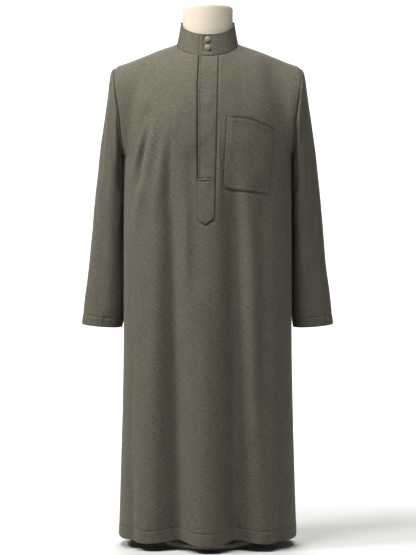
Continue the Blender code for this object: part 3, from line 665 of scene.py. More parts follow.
def make_panel(face, zones, local_relief=None):
    """A panel's grids, with the relief of its seams, its hem and the pieces sewn on it."""
    plain, soft = soft_panel(face, zones)
    skirt_rows = len(spaced(SKIRT_LEVELS)) - 1
    along_row = reach(soft, 1)
    from_side = np.minimum(along_row, along_row[:, -1:] - along_row)
    height = reach(soft, 0)
    relief = edge_roll(from_side) + NECK_ROLL_SHARE * edge_roll(height[-1:] - height)
    armhole_pucker = uneven(soft, ARMHOLE_PUCKER) * bell(from_side, ARMHOLE_PUCKER_REACH)
    armhole_pucker[:skirt_rows] = 0
    relief += armhole_pucker + hem_relief(height, along_row, HEM_BAND, HEM_PUCKER, face.facing)
    if local_relief:
        relief += local_relief(plain)
    outer = soft + grid_normals(soft, face.facing) * relief[..., None]
    outer[:, [0, -1], 1] += face.facing * SEAM_GAP / 2
    shoulder = np.abs(spaced(zones)) >= NECK_SHARE
    outer[-1, shoulder, 1] += face.facing * SEAM_GAP / 2
    return Panel(face, plain, soft, outer, grid_normals(outer, face.facing))


def share_seam_normals(front, back):
    """Both panels turn their edges the same way at the side seams."""
    skirt = slice(0, len(spaced(SKIRT_LEVELS)))
    for column in (0, -1):
        shared = unit(front.normals[skirt, column] + back.normals[skirt, column])
        front.normals[skirt, column] = shared
        back.normals[skirt, column] = shared


def armhole_loop(front, back, side):
    """The armhole's edge points, from the underarm up the front and down the back, with angles."""
    column = -1 if side > 0 else 0
    ups = spaced(CHEST_LEVELS)
    rows = slice(len(spaced(SKIRT_LEVELS)) - 1, None)
    points = np.concatenate([front.outer[rows, column], back.outer[rows, column][-2:0:-1]])
    normals = np.concatenate([front.normals[rows, column], back.normals[rows, column][-2:0:-1]])
    angles = np.concatenate([ups, 2 - ups[-2:0:-1]]) * math.pi
    return points, normals, angles


def sleeve_fold_depth(angle, along, side):
    """How far a sleeve's folds sink the cloth; its back has angles over a half turn."""
    total = np.zeros_like(angle)
    degrees = np.degrees(angle)
    for fold in SLEEVE_FOLDS:
        if fold.side not in ("both", "left" if side > 0 else "right"):
            continue
        share = (along - fold.along_top) / (fold.along_low - fold.along_top)
        fade = smooth(share / SLEEVE_FOLD_FADE) * smooth((1 - share) / SLEEVE_FOLD_FADE)
        middle = mix(fold.angle_top, fold.angle_low, share)
        total += fade * fold.depth * bell(degrees - middle, fold.spread)
    return total


def ring_normals(points, side):
    """Unit normals of a tube of rings, pointing out of it."""
    around = np.roll(points, -1, axis=1) - np.roll(points, 1, axis=1)
    down = np.gradient(points, axis=0)
    return unit(np.cross(down, around)) * side


def sleeve_ring(angle, along, side):
    """A plain ring of a sleeve."""
    outer_x, outer_z, inner_x, inner_z, middle_y, half_depth = (
        read(SLEEVE_SECTIONS, column, along) for column in Ring._fields[1:])
    power = 2 / SLEEVE_SQUARENESS
    outward = -np.sign(np.cos(angle)) * np.abs(np.cos(angle)) ** power
    depth = -np.sign(np.sin(angle)) * np.abs(np.sin(angle)) ** power
    x = (outer_x + inner_x) / 2 + outward * (outer_x - inner_x) / 2
    z = (outer_z + inner_z) / 2 + outward * (outer_z - inner_z) / 2
    z = z + CUFF_FRONT_DROP * along ** 3 * depth
    return np.stack([side * x, middle_y + half_depth * depth, z], axis=-1)


def sleeve_grid(front, back, side):
    """Outer points of a sleeve, rings from the armhole to the cuff, and their normals."""
    loop, loop_normals, angle = armhole_loop(front, back, side)
    edge = np.roll(loop, -1, axis=0) - np.roll(loop, 1, axis=0)
    inward = unit(np.cross(edge, loop_normals))
    inward *= np.sign((inward * (loop.mean(axis=0) - loop)).sum(axis=1, keepdims=True))
    loop = loop + inward * SEAM_GAP
    alongs = spaced(SLEEVE_LEVELS)
    start = sleeve_ring(angle, 0.0, side)
    rings = []
    for along in alongs:
        leaving = 1 - smooth(along / SLEEVE_HEAD)
        rings.append(sleeve_ring(angle, along, side) + (loop - start) * leaving)
    points = np.array(rings)
    fold = np.array([sleeve_fold_depth(angle, along, side) for along in alongs])
    points = points - ring_normals(points, side) * fold[..., None]
    steady = smooth(alongs / SLEEVE_CALM_HEAD)[:, None]
    from_head = alongs[:, None] * SLEEVE_LENGTH
    from_cuff = np.broadcast_to((1 - alongs[:, None]) * SLEEVE_LENGTH, fold.shape)
    around = np.broadcast_to(reach(points, 1).mean(axis=0), fold.shape)
    relief = uneven(points, SLEEVE_SWAY, side) + uneven(points, SLEEVE_RIPPLE, side)
    relief = (relief + edge_roll(from_head) - SEAM_ROLL.height) * steady
    relief = relief + hem_relief(from_cuff, around, CUFF_BAND, CUFF_PUCKER, side)
    points = points + ring_normals(points, side) * relief[..., None]
    return points, ring_normals(points, side)


def quad_grid(rows, columns, offset, wrap, flip):
    """Faces over a grid of vertices."""
    spans = columns if wrap else columns - 1
    row, column = np.meshgrid(np.arange(rows - 1), np.arange(spans), indexing="ij")
    beside = (column + 1) % columns
    corners = [row * columns + column, row * columns + beside,
               (row + 1) * columns + beside, (row + 1) * columns + column]
    quads = np.stack(corners, axis=-1).reshape(-1, 4) + offset
    return quads[:, ::-1] if flip else quads


def capped_rings(count, sides, start=0):
    """Faces of a row of rings, with a flat cap at each end."""
    faces = quad_grid(count, sides, start, True, False).tolist()
    last = start + (count - 1) * sides
    faces.append(list(range(start, start + sides))[::-1])
    faces.append(list(range(last, last + sides)))
    return faces


def place_in_scene(name, data):
    thing = bpy.data.objects.new(name, data)
    bpy.context.scene.collection.objects.link(thing)
    return thing


def make_piece(name, vertices, faces, material):
    """A smoothly shaded piece in the scene, from its points and faces."""
    mesh = bpy.data.meshes.new(name)
    mesh.from_pydata(vertices.reshape(-1, 3).tolist(), [], faces)
    mesh.materials.append(material)
    mesh.shade_smooth()
    return place_in_scene(name, mesh)


def grain_map(mesh, u, v, count, wrap):
    """A UV map in metres that follows the cloth's threads, u across and v along."""
    columns = len(u)
    corners = np.empty(len(mesh.loops), dtype=np.int64)
    mesh.loops.foreach_get("vertex_index", corners)
    place = corners % count
    row, column = place // columns, place % columns
    across = u[column].copy()
    if wrap:
        starts = np.empty(len(mesh.polygons), dtype=np.int64)
        sizes = np.empty(len(mesh.polygons), dtype=np.int64)
        mesh.polygons.foreach_get("loop_start", starts)
        mesh.polygons.foreach_get("loop_total", sizes)
        closing = np.maximum.reduceat(column, starts) == columns - 1
        closing &= np.minimum.reduceat(column, starts) == 0
        across[np.repeat(closing, sizes) & (column == 0)] = u[-1] + (u[-1] - u[-2])
    layer = mesh.uv_layers.new(name="grain")
    layer.data.foreach_set("uv", np.stack([across, v[row]], axis=-1).ravel())


def shell(name, outer, inner, wrap, material):
    """A closed thin wall between two grids, with its grain map."""
    rows, columns = outer.shape[:2]
    count = rows * columns
    faces = [quad_grid(rows, columns, 0, wrap, False), quad_grid(rows, columns, count, wrap, True)]
    first = np.arange(columns)
    last = first + (rows - 1) * columns
    paths = [np.append(first, 0), np.append(last, last[0])[::-1]]
    if not wrap:
        right = np.arange(rows) * columns + columns - 1
        left = np.arange(rows) * columns
        paths = [np.concatenate([first, right[1:], last[-2::-1], left[-2::-1]])]
    for path in paths:
        faces.append(np.stack([path[1:], path[:-1], path[:-1] + count, path[1:] + count], axis=-1))
    thing = make_piece(name, np.stack([outer, inner]), np.concatenate(faces).tolist(), material)
    u = reach(outer, 1)[rows // 2]
    v = reach(outer, 0)[:, columns // 2]
    grain_map(thing.data, u - u[-1] / 2, v, count, wrap)
    return thing


def soften(thing):
    """Rounds a shell's edges."""
    subdivision = thing.modifiers.new("Soft edges", "SUBSURF")
    subdivision.levels = subdivision.render_levels = 1
    return thing


def cloth_wall(name, outer, normals, above_edge, band, wrap, material):
    """A wall of cloth, doubled where the band at its lower edge is turned up."""
    thickness = mix(TURNED_UP_CLOTH, CLOTH, smooth((above_edge - band) / TURN_UP_FADE))
    return shell(name, outer, outer - normals * thickness[..., None], wrap, material)


def panel_wall(name, panel, material):
    above_hem = reach(panel.outer, 0)
    return cloth_wall(name, panel.outer, panel.normals, above_hem, HEM_BAND, False, material)


def sleeve_wall(name, outer, normals, material):
    above_cuff = (1 - spaced(SLEEVE_LEVELS))[:, None] * SLEEVE_LENGTH
    return cloth_wall(name, outer, normals, above_cuff, CUFF_BAND, True, material)


def collar_point(angle, height, step):
    """A point of the collar's outside: angle from the centre front, height from 0 to 1."""
    front = np.cos(angle) > 0
    base = neck_point(angle, -1, np.where(front, NECK_FRONT_DEPTH, NECK_BACK_DEPTH),
                      np.where(front, -NECK_FRONT_DROP, -NECK_BACK_RISE))
    top_depth = np.where(front, COLLAR_TOP_FRONT_DEPTH, COLLAR_TOP_BACK_DEPTH)
    top_drop = np.where(front, COLLAR_TOP_FRONT_DROP, COLLAR_TOP_BACK_RISE)
    top = np.stack([COLLAR_TOP_HALF_WIDTH * np.sin(angle),
                    COLLAR_TOP_SIDE_Y - top_depth * np.cos(angle),
                    COLLAR_TOP_SIDE_Z - top_drop * np.cos(angle)], axis=-1)
    outward = np.stack([np.sin(angle), -np.cos(angle), np.zeros_like(angle)], axis=-1)
    lifted = base + np.array([0, 0, SEAM_GAP])
    return mix(lifted, top, height) + outward * step[..., None]


def collar_front(height):
    """The point of the collar's lapping end at the centre front."""
    return collar_point(np.zeros(1), height, np.array([COLLAR_STEP]))[0]


def make_collar(material):
    """A stiffened band whose left end laps over its right end at the centre front."""
    angle = np.linspace(-COLLAR_LAP, 2 * math.pi + COLLAR_LAP, COLLAR_COLUMNS)
    step = COLLAR_STEP * (1 - smooth(angle / COLLAR_EASE))
    heights = np.array(COLLAR_LEVELS)
    outer = np.array([collar_point(angle, height, step) for height in heights])
    normals = unit(np.cross(np.gradient(outer, axis=1), np.gradient(outer, axis=0)))
    along = reach(outer, 1)
    up = heights[:, None] * COLLAR_HEIGHT
    puff = ridge(up, COLLAR_TOP_PUFF) + ridge(up, COLLAR_BASE_PUFF)
    end_puff = ridge(np.minimum(along, along[:, -1:] - along), COLLAR_END_PUFF)
    places = np.stack([along, np.broadcast_to(up, along.shape), np.zeros_like(along)], axis=-1)
    wave = uneven(places, COLLAR_WAVE)
    pressed = ridge(angle - (2 * math.pi - COLLAR_LAP), UNDER_LAP_GROOVE)
    for drop in SNAP_DROPS.values():
        from_snap = np.linalg.norm(outer - collar_front(1 - drop / SNAP_DENT_SPAN), axis=-1)
        pressed = pressed + ridge(from_snap, SNAP_DENT) + ridge(from_snap, SNAP_RING)
    outer = outer + normals * (puff + end_puff + wave + pressed)[..., None]
    wall = COLLAR_WALL + 2 * puff
    return soften(shell("collar_band", outer, outer - normals * wall[..., None], False, material))


def locate(panel, x, z, passes=8):
    """Fractional rows and columns of the panel's plain points with the given x and z."""
    rows, columns = panel.plain.shape[:2]
    row_places = np.arange(rows)
    column_places = np.arange(columns)
    found = np.empty((len(x), 2))
    for index, (want_x, want_z) in enumerate(zip(x, z)):
        row, column = rows / 2, columns / 2
        for _ in range(passes):
            column = np.interp(want_x, panel.plain[int(round(row)), :, 0], column_places)
            row = np.interp(want_z, panel.plain[:, int(round(column)), 2], row_places)
        found[index] = row, column
    return found


def sample(grid, places):
    """A grid's values at fractional rows and columns, kept just inside its last cell."""
    last_cell = 1.001
    row = np.clip(places[:, 0], 0, grid.shape[0] - last_cell)
    column = np.clip(places[:, 1], 0, grid.shape[1] - last_cell)
    r, c = row.astype(int), column.astype(int)
    t, s = (row - r)[:, None], (column - c)[:, None]
    return mix(mix(grid[r, c], grid[r, c + 1], s), mix(grid[r + 1, c], grid[r + 1, c + 1], s), t)


def on_panel(panel, x, z, lift):
    """Points on the panel's soft surface, moved out by the lift, and the normals there."""
    places = locate(panel, np.ravel(x), np.ravel(z))
    normals = unit(sample(grid_normals(panel.soft, panel.face.facing), places))
    points = sample(panel.soft, places) + normals * np.ravel(lift)[:, None]
    return points.reshape(x.shape + (3,)), normals.reshape(x.shape + (3,))


def tack_bar_heights():
    return [TACK_BAR_Z - TACK_BAR_SPACING / 2, TACK_BAR_Z + TACK_BAR_SPACING / 2]


def placket_place(share, down):
    """(x, z) on the placket: share across from the fly's edge, down from 0 to 1 at its foot."""
    z = mix(PLACKET_TOP_Z, straight(PLACKET_FOOT, share), down)
    return mix(straight(FLY_EDGE, z), straight(SEWN_EDGE, z), share), z


def make_placket(panel, material):
    """A doubled band over the fly: open at its left edge down to the tack bar, sewn at its right."""
    share, down = np.meshgrid(spaced(PLACKET_ACROSS), spaced(PLACKET_DOWN)[::-1])
    x, z = placket_place(share, down)
    from_side = np.minimum(share, 1 - share) * PLACKET_WIDTH
    rounding = mix(PLACKET_THIN_SIDE, 1, smooth(from_side / PLACKET_EDGE))
    rounding *= mix(PLACKET_THIN_FOOT, 1, smooth((1 - down) * PLACKET_LENGTH / PLACKET_EDGE))
    above_bar = smooth((z - TACK_BAR_Z - PLACKET_STAND_START) / PLACKET_STAND_FADE)
    stand_off = PLACKET_STAND_OFF * above_bar * (1 - smooth(share / PLACKET_STAND_SHARE))
    places = np.stack([x, np.zeros_like(x), z], axis=-1)
    calm = smooth(share / PLACKET_CALM_OPEN_SHARE) * smooth((1 - share) / PLACKET_CALM_SEWN_SHARE)
    wave = np.maximum(uneven(places, PLACKET_WAVE) * calm, PLACKET_LOWEST_WAVE)
    bars = ridge(z - TACK_BAR_Z, TACK_RIDGE)
    for bar_z in tack_bar_heights():
        bars += ridge(z - bar_z, TACK_GROOVE)
    bars *= 1 - smooth((share - TACK_BAR_SHARE) / TACK_BAR_FADE)
    outer, _ = on_panel(panel, x, z, SEAM_GAP + PLACKET_LAYERS * rounding + stand_off + wave + bars)
    inner, _ = on_panel(panel, x, z, SEAM_GAP + INNER_FOLLOWS * stand_off)
    return soften(shell("placket_band", outer, inner, False, material))


def pocket_place(share, up):
    """(x, z) on the pocket: share across from the placket's side, up from its foot to its top."""
    near_corner = np.clip(1 - np.minimum(share, 1 - share) / POCKET_CORNER, 0, 1)
    low = straight(POCKET_BOTTOM, share) + POCKET_CORNER_RISE * (1 - np.sqrt(1 - near_corner ** 2))
    z = mix(low, straight(POCKET_TOP, share), up)
    return mix(straight(POCKET_NEAR_EDGE, z), straight(POCKET_FAR_EDGE, z), share), z


def make_pocket(panel, material):
    """A patch sewn down on three sides, with its hemmed top edge standing a little off."""
    share, up = np.meshgrid(spaced(POCKET_ACROSS), spaced(POCKET_UP))
    x, z = pocket_place(share, up)
    from_side = np.minimum(share, 1 - share) * POCKET_WIDTH
    from_foot = up * POCKET_HEIGHT
    from_top = (1 - up) * POCKET_HEIGHT
    rounding = mix(POCKET_THIN_EDGE, 1, smooth(np.minimum(from_side, from_foot) / POCKET_EDGE))
    far_side = smooth((share - POCKET_FAR_START) / (1 - POCKET_FAR_START))
    rounding *= 1 - POCKET_FAR_THINNING * far_side
    gape = np.sin(math.pi * np.clip(share, 0, 1)) ** POCKET_MOUTH_FULLNESS
    mouth = ridge(from_top, POCKET_MOUTH) * gape
    lip = ridge(from_top, POCKET_LIP) + ridge(from_top, POCKET_LIP_GROOVE)
    lip += ridge(from_top, POCKET_HEM_GROOVE)
    places = np.stack([x, np.zeros_like(x), z], axis=-1)
    slack = uneven(places, POCKET_SLACK) * smooth(from_side / POCKET_CALM_SIDE)
    slack = np.maximum(slack, POCKET_LOWEST_SLACK)
    outer, _ = on_panel(panel, x, z, SEAM_GAP + POCKET_LAYER * rounding + mouth + lip + slack)
    inner, _ = on_panel(panel, x, z, SEAM_GAP + INNER_FOLLOWS * mouth)
    return soften(shell("pocket_patch", outer, inner, False, material))


def spindle(centre, along, out):
    """Rings of a single stitch: a short thread that rises out of the cloth and dips back in."""
    aside = np.cross(along, out)
    turns = np.arange(STITCH_SIDES) / STITCH_SIDES * 2 * math.pi
    ring = np.cos(turns)[:, None] * aside + np.sin(turns)[:, None] * out
    rings = []
    for place, swell, rise in STITCH_STATIONS:
        middle = centre + along * place * STITCH_LENGTH + out * rise * THREAD_RADIUS
        rings.append(middle + ring * swell * THREAD_RADIUS)
    return np.concatenate(rings)


def along_path(at, distance, values):
    """Values between a path's points, at distances along it."""
    return np.stack([np.interp(at, distance, values[:, i]) for i in range(3)], axis=-1)


def stitch_run(name, points, normals, material):
    """A line of stitches, evenly spaced along a path on the cloth."""
    distance = reach(points, 0)
    count = int(distance[-1] / STITCH_PITCH)
    at = (np.arange(count) + 0.5) * distance[-1] / count
    centres = along_path(at, distance, points)
    outs = unit(along_path(at, distance, normals))
    ends = (along_path(at + STITCH_PITCH / 2, distance, points)
            - along_path(at - STITCH_PITCH / 2, distance, points))
    alongs = unit(ends - outs * (ends * outs).sum(axis=1, keepdims=True))
    vertices = []
    faces = []
    for index, (centre, along, out) in enumerate(zip(centres, alongs, outs)):
        vertices.append(spindle(centre, along, out))
        stations = len(STITCH_STATIONS)
        faces += capped_rings(stations, STITCH_SIDES, index * stations * STITCH_SIDES)
    return make_piece(name, np.concatenate(vertices), faces, material)


def hem_stitches(name, panel, material):
    """The hem's stitched line, at the band's height over the whole panel."""
    height = reach(panel.outer, 0)
    margin = 2
    columns = np.arange(margin, panel.outer.shape[1] - margin)
    rows = np.array([np.interp(HEM_BAND, height[:, c], np.arange(len(height))) for c in columns])
    places = np.stack([rows, columns.astype(float)], axis=-1)
    return stitch_run(name, sample(panel.outer, places), sample(panel.normals, places), material)


def cuff_stitches(name, outer, normals, material):
    """The cuff's stitched line, all round the sleeve."""
    ring = np.interp(1 - CUFF_BAND / SLEEVE_LENGTH, spaced(SLEEVE_LEVELS), np.arange(len(outer)))
    columns = np.arange(outer.shape[1] + 1) % outer.shape[1]
    low = int(ring)
    points = mix(outer[low, columns], outer[low + 1, columns], ring - low)
    outs = unit(mix(normals[low, columns], normals[low + 1, columns], ring - low))
    return stitch_run(name, points, outs, material)


def patch_stitches(name, panel, line, lift, material):
    """Stitches along a line of (x, z) corners on a piece that lies on the front."""
    corners = np.array([(x, 0.0, z) for x, z in line])
    distance = reach(corners, 0)
    count = max(SEWN_LINE_POINTS, int(distance[-1] / SEWN_LINE_STEP))
    at = np.linspace(0, distance[-1], count)
    x = np.interp(at, distance, corners[:, 0])
    z = np.interp(at, distance, corners[:, 2])
    points, normals = on_panel(panel, x, z, np.full_like(x, lift))
    return stitch_run(name, points, normals, material)


def placket_stitch_lines():
    """Lines of (x, z) corners a little inside the placket's sewn edges, and its two tack bars."""
    inset, foot_down, open_down = 0.045, 0.994, 0.78
    sewn = [placket_place(1 - inset, down) for down in (0.0, 0.5, 0.965)]
    foot = [placket_place(share, foot_down) for share in (1 - inset, 0.75, 0.46, 0.2, inset)]
    lower_edge = [placket_place(inset, down) for down in (0.97, open_down)]
    lines = {"placket_edge_stitches": sewn + foot + lower_edge}
    for word, bar_z in zip(("lower", "upper"), tack_bar_heights()):
        down = (PLACKET_TOP_Z - bar_z) / (PLACKET_TOP_Z - PLACKET_FOOT[0][1])
        ends = [(placket_place(share, down)[0], bar_z) for share in (0.05, TACK_BAR_SHARE)]
        lines["placket_bar_stitches_" + word] = ends
    return lines


def pocket_stitch_lines():
    """Lines of (x, z) corners a little inside the pocket's sewn edges, and along its hem."""
    inset, foot_up, hem_up = 0.028, 0.018, 1 - POCKET_HEM / POCKET_HEIGHT
    to_middle = [inset, POCKET_CORNER * 0.5, POCKET_CORNER]
    shares = to_middle + [0.5] + [1 - share for share in to_middle[::-1]]
    down = [pocket_place(inset, up) for up in (0.99, 0.5, 0.04)]
    along = [pocket_place(share, foot_up) for share in shares]
    up_again = [pocket_place(1 - inset, up) for up in (0.04, 0.5, 0.99)]
    hem = [pocket_place(share, hem_up) for share in (0.04, 0.25, 0.5, 0.75, 0.96)]
    return {"pocket_edge_stitches": down + along + up_again, "pocket_hem_stitches": hem}


def turned(name, profile, sides, material):
    """A turned piece from (radius, height) points, along its own Z axis."""
    turns = np.arange(sides) / sides * 2 * math.pi
    rings = [np.stack([radius * np.cos(turns), radius * np.sin(turns), np.full(sides, height)], axis=-1)
             for radius, height in profile]
    return make_piece(name, np.array(rings), capped_rings(len(rings), sides), material)


def make_snap(node_name, drop, material):
    """A pressed cap: flat middle, soft shoulder and a rolled rim, square to the collar's front."""
    snap = turned(node_name.replace("collar_snap", "snap_cap"), SNAP_PROFILE, SNAP_SIDES, material)
    low = Vector(collar_front(0.0))
    high = Vector(collar_front(1.0))
    up = (high - low).normalized()
    outward = Vector((1, 0, 0)).cross(up).normalized()
    place = Matrix((Vector((1, 0, 0)), up, outward)).transposed().to_4x4()
    place.translation = high - up * drop + outward * SEAM_GAP
    snap.data.transform(place)
    return snap


def form_ring(z, shrink=1.0):
    """A ring of the dress form, at its own size or shrunk towards its middle."""
    angle = np.arange(FORM_SIDES) / FORM_SIDES * 2 * math.pi
    power = 2 / read(FORM_SECTIONS, "squareness", z)
    half_width = read(FORM_SECTIONS, "half_width", z) * shrink
    depth = np.where(np.sin(angle) < 0, read(FORM_SECTIONS, "front", z), read(FORM_SECTIONS, "back", z))
    x = half_width * np.sign(np.cos(angle)) * np.abs(np.cos(angle)) ** power
    y = depth * shrink * np.sign(np.sin(angle)) * np.abs(np.sin(angle)) ** power
    return np.stack([x, y, np.full_like(angle, z)], axis=-1)


def make_form(material):
    """The padded torso under its cover, up to the rounded edge of the neck's flat top."""
    low, top = FORM_SECTIONS[0].z, FORM_SECTIONS[-1].z
    levels = np.linspace(low, top - NECK_CAP_ROUNDING, round((top - low) / FORM_RING_STEP))
    rings = [form_ring(low, shrink) for shrink in FORM_FOOT_SHRINKS]
    rings += [form_ring(z) for z in levels]
    for part in range(1, NECK_CAP_STEPS + 1):
        angle = part / NECK_CAP_STEPS * math.pi / 2
        inset = NECK_CAP_ROUNDING * (1 - math.cos(angle))
        height = top - NECK_CAP_ROUNDING * (1 - math.sin(angle))
        rings.append(form_ring(height, 1 - inset / FORM_SECTIONS[-1].half_width))
    rings += [form_ring(top, shrink) for shrink in NECK_TOP_SHRINKS]
    points = np.array(rings)
    count = len(rings)
    form = make_piece("form_cover", points, capped_rings(count, FORM_SIDES), material)
    around = reach(points, 1)[count // 2]
    grain_map(form.data, around, reach(points, 0)[:, 0], count * FORM_SIDES, True)
    return form


def colour(hex_code):
    """Linear RGBA of an sRGB hex code."""
    channels = [int(hex_code[i:i + 2], 16) / 255 for i in (0, 2, 4)]
    return [c / 12.92 if c <= 0.04045 else ((c + 0.055) / 1.055) ** 2.4 for c in channels] + [1.0]


def node(tree, kind, inputs, **settings):
    """Adds a shader node with its settings, and with inputs that are values or sockets to link."""
    made = tree.nodes.new(kind)
    for name, value in settings.items():
        setattr(made, name, value)
    for name, value in inputs.items():
        if isinstance(value, bpy.types.NodeSocket):
            tree.links.new(value, made.inputs[name])
        else:
            made.inputs[name].default_value = value
    return made


def new_material(name, **sockets):
    """A material with its shader, whose sockets are named with spaces for underscores."""
    material = bpy.data.materials.new(name)
    material.use_nodes = True
    tree = material.node_tree
    shader = tree.nodes["Principled BSDF"]
    for socket, value in sockets.items():
        shader.inputs[socket.replace("_", " ")].default_value = value
    return material, tree, shader


def tint_and_relief(tree, shader, tone, stops, relief, strength, depth):
    """Tints a shader between two (tone, hex colour) stops, and gives its surface a fine relief."""
    ramp = node(tree, "ShaderNodeValToRGB", {0: tone})
    for element, (place, hex_code) in zip(ramp.color_ramp.elements, stops):
        element.position = place
        element.color = colour(hex_code)
    tree.links.new(ramp.outputs[0], shader.inputs["Base Color"])
    bump = node(tree, "ShaderNodeBump", {"Height": relief, "Strength": strength, "Distance": depth})
    tree.links.new(bump.outputs[0], shader.inputs["Normal"])


def fibres(tree, grain, across, along, detail):
    """Unevenness of yarns whose patches are this large, in metres, across and along the grain."""
    sized = node(tree, "ShaderNodeVectorMath", {0: grain, 1: (1 / across, 1 / along, 0)},
                 operation="MULTIPLY")
    inputs = {"Vector": sized.outputs[0], "Scale": 1.0, "Detail": detail}
    return node(tree, "ShaderNodeTexNoise", inputs).outputs[0]


def crossings(tree, grain, across, along):
    """Checks of a weave or a knit that crosses at these pitches, in metres."""
    sized = node(tree, "ShaderNodeVectorMath", {0: grain, 1: (math.pi / across, math.pi / along, 0)},
                 operation="MULTIPLY")
    waves = node(tree, "ShaderNodeVectorMath", {0: sized.outputs[0]}, operation="SINE")
    axes = node(tree, "ShaderNodeSeparateXYZ", {0: waves.outputs[0]})
    inputs = {0: axes.outputs[0], 1: axes.outputs[1]}
    return node(tree, "ShaderNodeMath", inputs, operation="MULTIPLY").outputs[0]


def speckle(tree, size, detail):
    """Unevenness of a thread, an enamel or a coat, with specks of this size in metres."""
    place = node(tree, "ShaderNodeTexCoord", {}).outputs["Object"]
    inputs = {"Vector": place, "Scale": 1 / size, "Detail": detail}
    return node(tree, "ShaderNodeTexNoise", inputs).outputs[0]


def woven_melange():
    """Light poly-viscose suiting, plain woven from yarns spun of grey and olive fibres: matt, with
    short light and dark slubs along both threads and a faint bloom at the edges."""
    material, tree, shader = new_material(
        "woven_melange_suiting", Roughness=0.86, IOR=1.45, Sheen_Weight=0.12, Sheen_Roughness=0.5)
    shader.inputs["Sheen Tint"].default_value = colour("B9B5A4")
    shader.inputs["Specular IOR Level"].default_value = 0.25
    grain = node(tree, "ShaderNodeUVMap", {}, uv_map="grain").outputs[0]
    # Threads lie 0.4 mm apart. The slubs are drawn 0.9 and 1.1 mm wide, so that they show.
    warp = fibres(tree, grain, across=0.0009, along=0.006, detail=2.0)
    weft = fibres(tree, grain, across=0.010, along=0.0011, detail=2.0)
    cloudy = fibres(tree, grain, across=0.05, along=0.07, detail=3.0)
    slub_contrast, cloud_contrast, check_height = 0.43, 0.07, 0.5
    threads = node(tree, "ShaderNodeMath", {0: warp, 1: weft}, operation="ADD").outputs[0]
    slubs = node(tree, "ShaderNodeMath", {0: threads, 1: slub_contrast}, operation="MULTIPLY").outputs[0]
    shade_inputs = {0: cloudy, 1: cloud_contrast, 2: slubs}
    shade = node(tree, "ShaderNodeMath", shade_inputs, operation="MULTIPLY_ADD").outputs[0]
    # The plain weave's checks are drawn 1.3 mm apart, about three threads, so that they show close up.
    checks = crossings(tree, grain, across=0.0013, along=0.0013)
    height_inputs = {0: checks, 1: check_height, 2: threads}
    height = node(tree, "ShaderNodeMath", height_inputs, operation="MULTIPLY_ADD").outputs[0]
    stops = [(0.305, "37352B"), (0.625, "6F6B5D")]
    tint_and_relief(tree, shader, shade, stops, height, strength=0.35, depth=0.0004)
    return material


def spun_thread():
    """Spun polyester sewing thread, twisted from two plies: dull, a little darker than the cloth."""
    material, tree, shader = new_material("spun_polyester_thread", Roughness=0.7, IOR=1.5)
    plies = speckle(tree, size=0.0009, detail=1.0)
    stops = [(0.35, "2A2822"), (0.67, "46443A")]
    tint_and_relief(tree, shader, plies, stops, plies, strength=0.3, depth=0.0002)
    return material


def enamelled_brass():
    """Pressed brass snap cap, dipped in taupe enamel: satin, with a faint orange peel."""
    material, tree, shader = new_material("enamelled_brass_cap", Roughness=0.42, IOR=1.5)
    peel = speckle(tree, size=0.0012, detail=2.0)
    stops = [(0.3, "6A6254"), (0.7, "7D7464")]
    tint_and_relief(tree, shader, peel, stops, peel, strength=0.15, depth=0.0002)
    return material


def knitted_jersey():
    """Cream cotton jersey pulled tight over the padding: matt, with fine upright wales."""
    material, tree, shader = new_material(
        "knitted_cotton_jersey", Roughness=0.9, IOR=1.45, Sheen_Weight=0.1)
    shader.inputs["Specular IOR Level"].default_value = 0.25
    grain = node(tree, "ShaderNodeUVMap", {}, uv_map="grain").outputs[0]
    # Wales are 0.8 mm apart and courses 0.6 mm.
    knit = crossings(tree, grain, across=0.0008, along=0.0006)
    yarn = fibres(tree, grain, across=0.004, along=0.004, detail=4.0)
    stops = [(0.3, "C2B6A2"), (0.7, "CEC3B1")]
    tint_and_relief(tree, shader, yarn, stops, knit, strength=0.2, depth=0.0003)
    return material


def powder_coated_steel():
    """Steel sprayed with off-white powder and baked: satin, with a fine orange peel."""
    material, tree, shader = new_material("powder_coated_steel", Roughness=0.45, IOR=1.5)
    peel = speckle(tree, size=0.0025, detail=2.0)
    stops = [(0.3, "E6E3DC"), (0.7, "EFEDE8")]
    tint_and_relief(tree, shader, peel, stops, peel, strength=0.12, depth=0.0004)
    return material


def make_sweep():
    """A wide pale matt floor that curves up into a wall, eight metres behind the part."""
    half_width, front_y, wall_y, top = 11.0, -10.0, 8.0, 8.0
    radius, steps = 2.5, 16
    profile = [(front_y, 0.0), (wall_y - radius, 0.0)]
    for part in range(1, steps + 1):
        angle = part / steps * math.pi / 2
        profile.append((wall_y - radius + radius * math.sin(angle), radius - radius * math.cos(angle)))
    profile.append((wall_y, top))
    points = np.array([[(side * half_width, y, z) for side in (-1, 1)] for y, z in profile])
    paint, _, shader = new_material("matt_studio_paint", Roughness=0.95)
    shader.inputs["Base Color"].default_value = colour("CBCBC9")
    faces = quad_grid(len(profile), 2, 0, False, False).tolist()
    make_piece("studio_sweep", points, faces, paint)


Lamp = namedtuple("Lamp", "name place size power aim")
LAMPS = [
    Lamp("key", (-3.24, -1.18, 3.74), 1.0, 168, (0, 0, 0.85)),
    Lamp("high_right", (1.36, -1.62, 4.82), 1.0, 66, (0, 0, 0.75)),
    Lamp("top", (-0.70, -1.00, 3.10), 0.8, 62, (0, 0, 1.20)),
    Lamp("backdrop", (0.0, 3.8, 4.3), 3.0, 560, (0, 5.8, 0.1)),
]


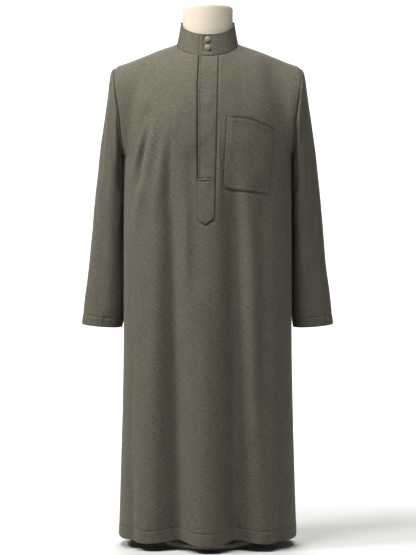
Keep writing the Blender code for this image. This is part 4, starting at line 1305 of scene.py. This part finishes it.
def make_studio():
    """The sweep, faint light from all round, and four soft lamps: a key from the upper left, a high
    one from the right, one above the shoulders and one for the backdrop."""
    make_sweep()
    world = bpy.data.worlds.new("studio_air")
    world.use_nodes = True
    background = world.node_tree.nodes["Background"]
    background.inputs["Color"].default_value = colour("FFFFFF")
    background.inputs["Strength"].default_value = 0.07
    bpy.context.scene.world = world

    for lamp in LAMPS:
        light = bpy.data.lights.new(lamp.name, "AREA")
        light.size = lamp.size
        light.energy = lamp.power
        stand = place_in_scene(lamp.name, light)
        stand.location = lamp.place
        direction = Vector(lamp.aim) - Vector(lamp.place)
        stand.rotation_euler = direction.to_track_quat("-Z", "Y").to_euler()
    bpy.context.scene.view_settings.view_transform = "Standard"


def make_camera():
    """Level, at the photograph's height, a little over four metres away."""
    focal_length, film_width = 102.3, 36.0
    camera = bpy.data.cameras.new("camera")
    camera.lens = focal_length
    camera.sensor_width = film_width
    thing = place_in_scene("camera", camera)
    thing.location = (0.0008, -4.1, 0.689)
    thing.rotation_euler = (math.radians(90), 0, 0)
    bpy.context.scene.camera = thing


def main():
    make_camera()
    make_studio()
    cloth = woven_melange()
    thread = spun_thread()

    front = make_panel(FRONT, FRONT_COLUMNS, front_relief)
    back = make_panel(BACK, BACK_COLUMNS)
    share_seam_normals(front, back)
    pieces = {
        "front_panel": panel_wall("front_cloth", front, cloth),
        "back_panel": panel_wall("back_cloth", back, cloth),
        "collar": make_collar(cloth),
        "placket": make_placket(front, cloth),
        "chest_pocket": make_pocket(front, cloth),
    }
    stitches = {
        "front_panel": [hem_stitches("front_hem_stitches", front, thread)],
        "back_panel": [hem_stitches("back_hem_stitches", back, thread)],
        "placket": [patch_stitches(name, front, line, PLACKET_THREAD_LIFT, thread)
                    for name, line in placket_stitch_lines().items()],
        "chest_pocket": [patch_stitches(name, front, line, POCKET_THREAD_LIFT, thread)
                         for name, line in pocket_stitch_lines().items()],
    }
    for side, word in ((1, "left"), (-1, "right")):
        outer, normals = sleeve_grid(front, back, side)
        pieces["sleeve_" + word] = sleeve_wall("sleeve_cloth_" + word, outer, normals, cloth)
        stitches["sleeve_" + word] = [cuff_stitches("cuff_stitches_" + word, outer, normals, thread)]

    form = make_form(knitted_jersey())
    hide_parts("form_torso")
    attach(form, "root")
    for cad_node, piece in pieces.items():
        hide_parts(cad_node)
        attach(piece, "root")
        for run in stitches.get(cad_node, []):
            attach(run, "root")

    enamel = enamelled_brass()
    for cad_node, drop in SNAP_DROPS.items():
        snap = make_snap(cad_node, drop, enamel)
        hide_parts(cad_node)
        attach(snap, "root")

    steel = powder_coated_steel()
    for cad_node in ("stand_pole", "stand_base"):
        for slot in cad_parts[cad_node].material_slots:
            slot.material = steel


main()
